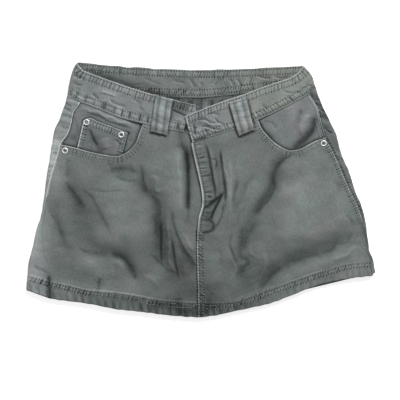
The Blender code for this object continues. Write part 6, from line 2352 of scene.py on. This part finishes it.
front_threads = {side: [front_stitches(side)] for side in SIGN}
fly_threads = stitched("stitches_fly", FLY_ROWS, partial(front_thread_height, "right"), sunk=FLY_SUNK)
front_threads["right"].append(fly_threads)
for side in SIGN:
    back = "back_" + side
    lay(front_panel(side), "front_" + side, with_pieces=front_threads[side])
    lay(back_panel(side), back, with_pieces=[back_stitches(side)])
    lay(yoke(side), "yoke_" + side)
    lay(facing(side), "facing_" + side)
coin_threads = stitched("stitches_coin", rows_of(COIN_TRIMS), coin_thread_height)
lay(coin_pocket(), "coin_pocket", with_pieces=[coin_threads])
lay(fly_facing(), "fly_facing")
lay(waistband(), "waistband", with_pieces=band_stitches())
for node in (*FRONT_LOOPS, *BACK_LOOP_PLACES):
    lay(loop(node), node, with_pieces=[loop_stitches(node)])
for node in ("rivet_1", "rivet_2", "rivet_3", "rivet_4"):
    dress(rivet(node), node)


# ---------------------------------------------------------------- camera, floor and light

VIEW_WIDTH = 0.656
VIEW_CENTRE = (-0.0012, -0.0170)
LENS = 100.0
SENSOR = 36.0
FLOOR_SIZE = 8.0
FLOOR_DROP = 0.0004
FLOOR_WHITE = 0.80
FLOOR_GLOW = 0.66
WHITE = (1.0, 1.0, 1.0, 1.0)
AMBIENT = 0.24
# Power, place and size of each light
SOFTBOXES = {
    "key": (74.0, (0.75, 1.85, 1.20), 0.8),
    "fill": (7.0, (-1.5, -0.6, 1.6), 1.6),
}


def camera():
    data = bpy.data.cameras.new("camera")
    data.lens = LENS
    data.sensor_width = SENSOR
    place = (*VIEW_CENTRE, BODY_HEIGHT * MM + VIEW_WIDTH * LENS / SENSOR)
    bpy.context.scene.camera = placed("camera", data, place)


def softbox(name, power, place, size):
    """A square light that faces the origin."""
    data = bpy.data.lights.new(name, "AREA")
    data.energy = power
    data.size = size
    light = placed(name, data, place)
    light.rotation_euler = (-light.location).to_track_quat("-Z", "Y").to_euler()


def seen_directly(nodes):
    """1 for the camera, and for reflections and glass, which show the same white."""
    path = nodes.add("LightPath")
    total = path.outputs["Is Camera Ray"]
    for name in ("Is Glossy Ray", "Is Transmission Ray"):
        total = nodes.maths("ADD", total, path.outputs[name], use_clamp=True)
    return total


def floor():
    nodes = Nodes(bpy.data.materials.new("floor"))
    shader = nodes.tree.nodes["Principled BSDF"]
    fill(shader, {"Base Color": (FLOOR_WHITE, FLOOR_WHITE, FLOOR_WHITE, 1.0), "Emission Color": WHITE})
    fill(shader, {"Roughness": 0.9, "Specular IOR Level": 0.1})
    nodes.join(nodes.maths("MULTIPLY", seen_directly(nodes), FLOOR_GLOW), shader.inputs["Emission Strength"])
    mesh = bpy.data.meshes.new("floor")
    half = 0.5 * FLOOR_SIZE
    corners = [(-half, -half, 0.0), (half, -half, 0.0), (half, half, 0.0), (-half, half, 0.0)]
    mesh.from_pydata(corners, [], [(0, 1, 2, 3)])
    mesh.materials.append(nodes.owner)
    placed("floor", mesh, (0.0, 0.0, -FLOOR_DROP))


def world():
    nodes = Nodes(bpy.data.worlds.new("world"))
    bpy.context.scene.world = nodes.owner
    background = nodes.tree.nodes["Background"]
    fill(background, {"Color": WHITE})
    strength = nodes.add("MapRange")
    fill(strength, {"To Min": AMBIENT, "To Max": 1.0})
    nodes.join(seen_directly(nodes), strength.inputs["Value"])
    nodes.join(strength.outputs["Result"], background.inputs["Strength"])


camera()
floor()
world()
for name, light in SOFTBOXES.items():
    softbox(name, *light)
bpy.context.scene.view_settings.view_transform = "Standard"
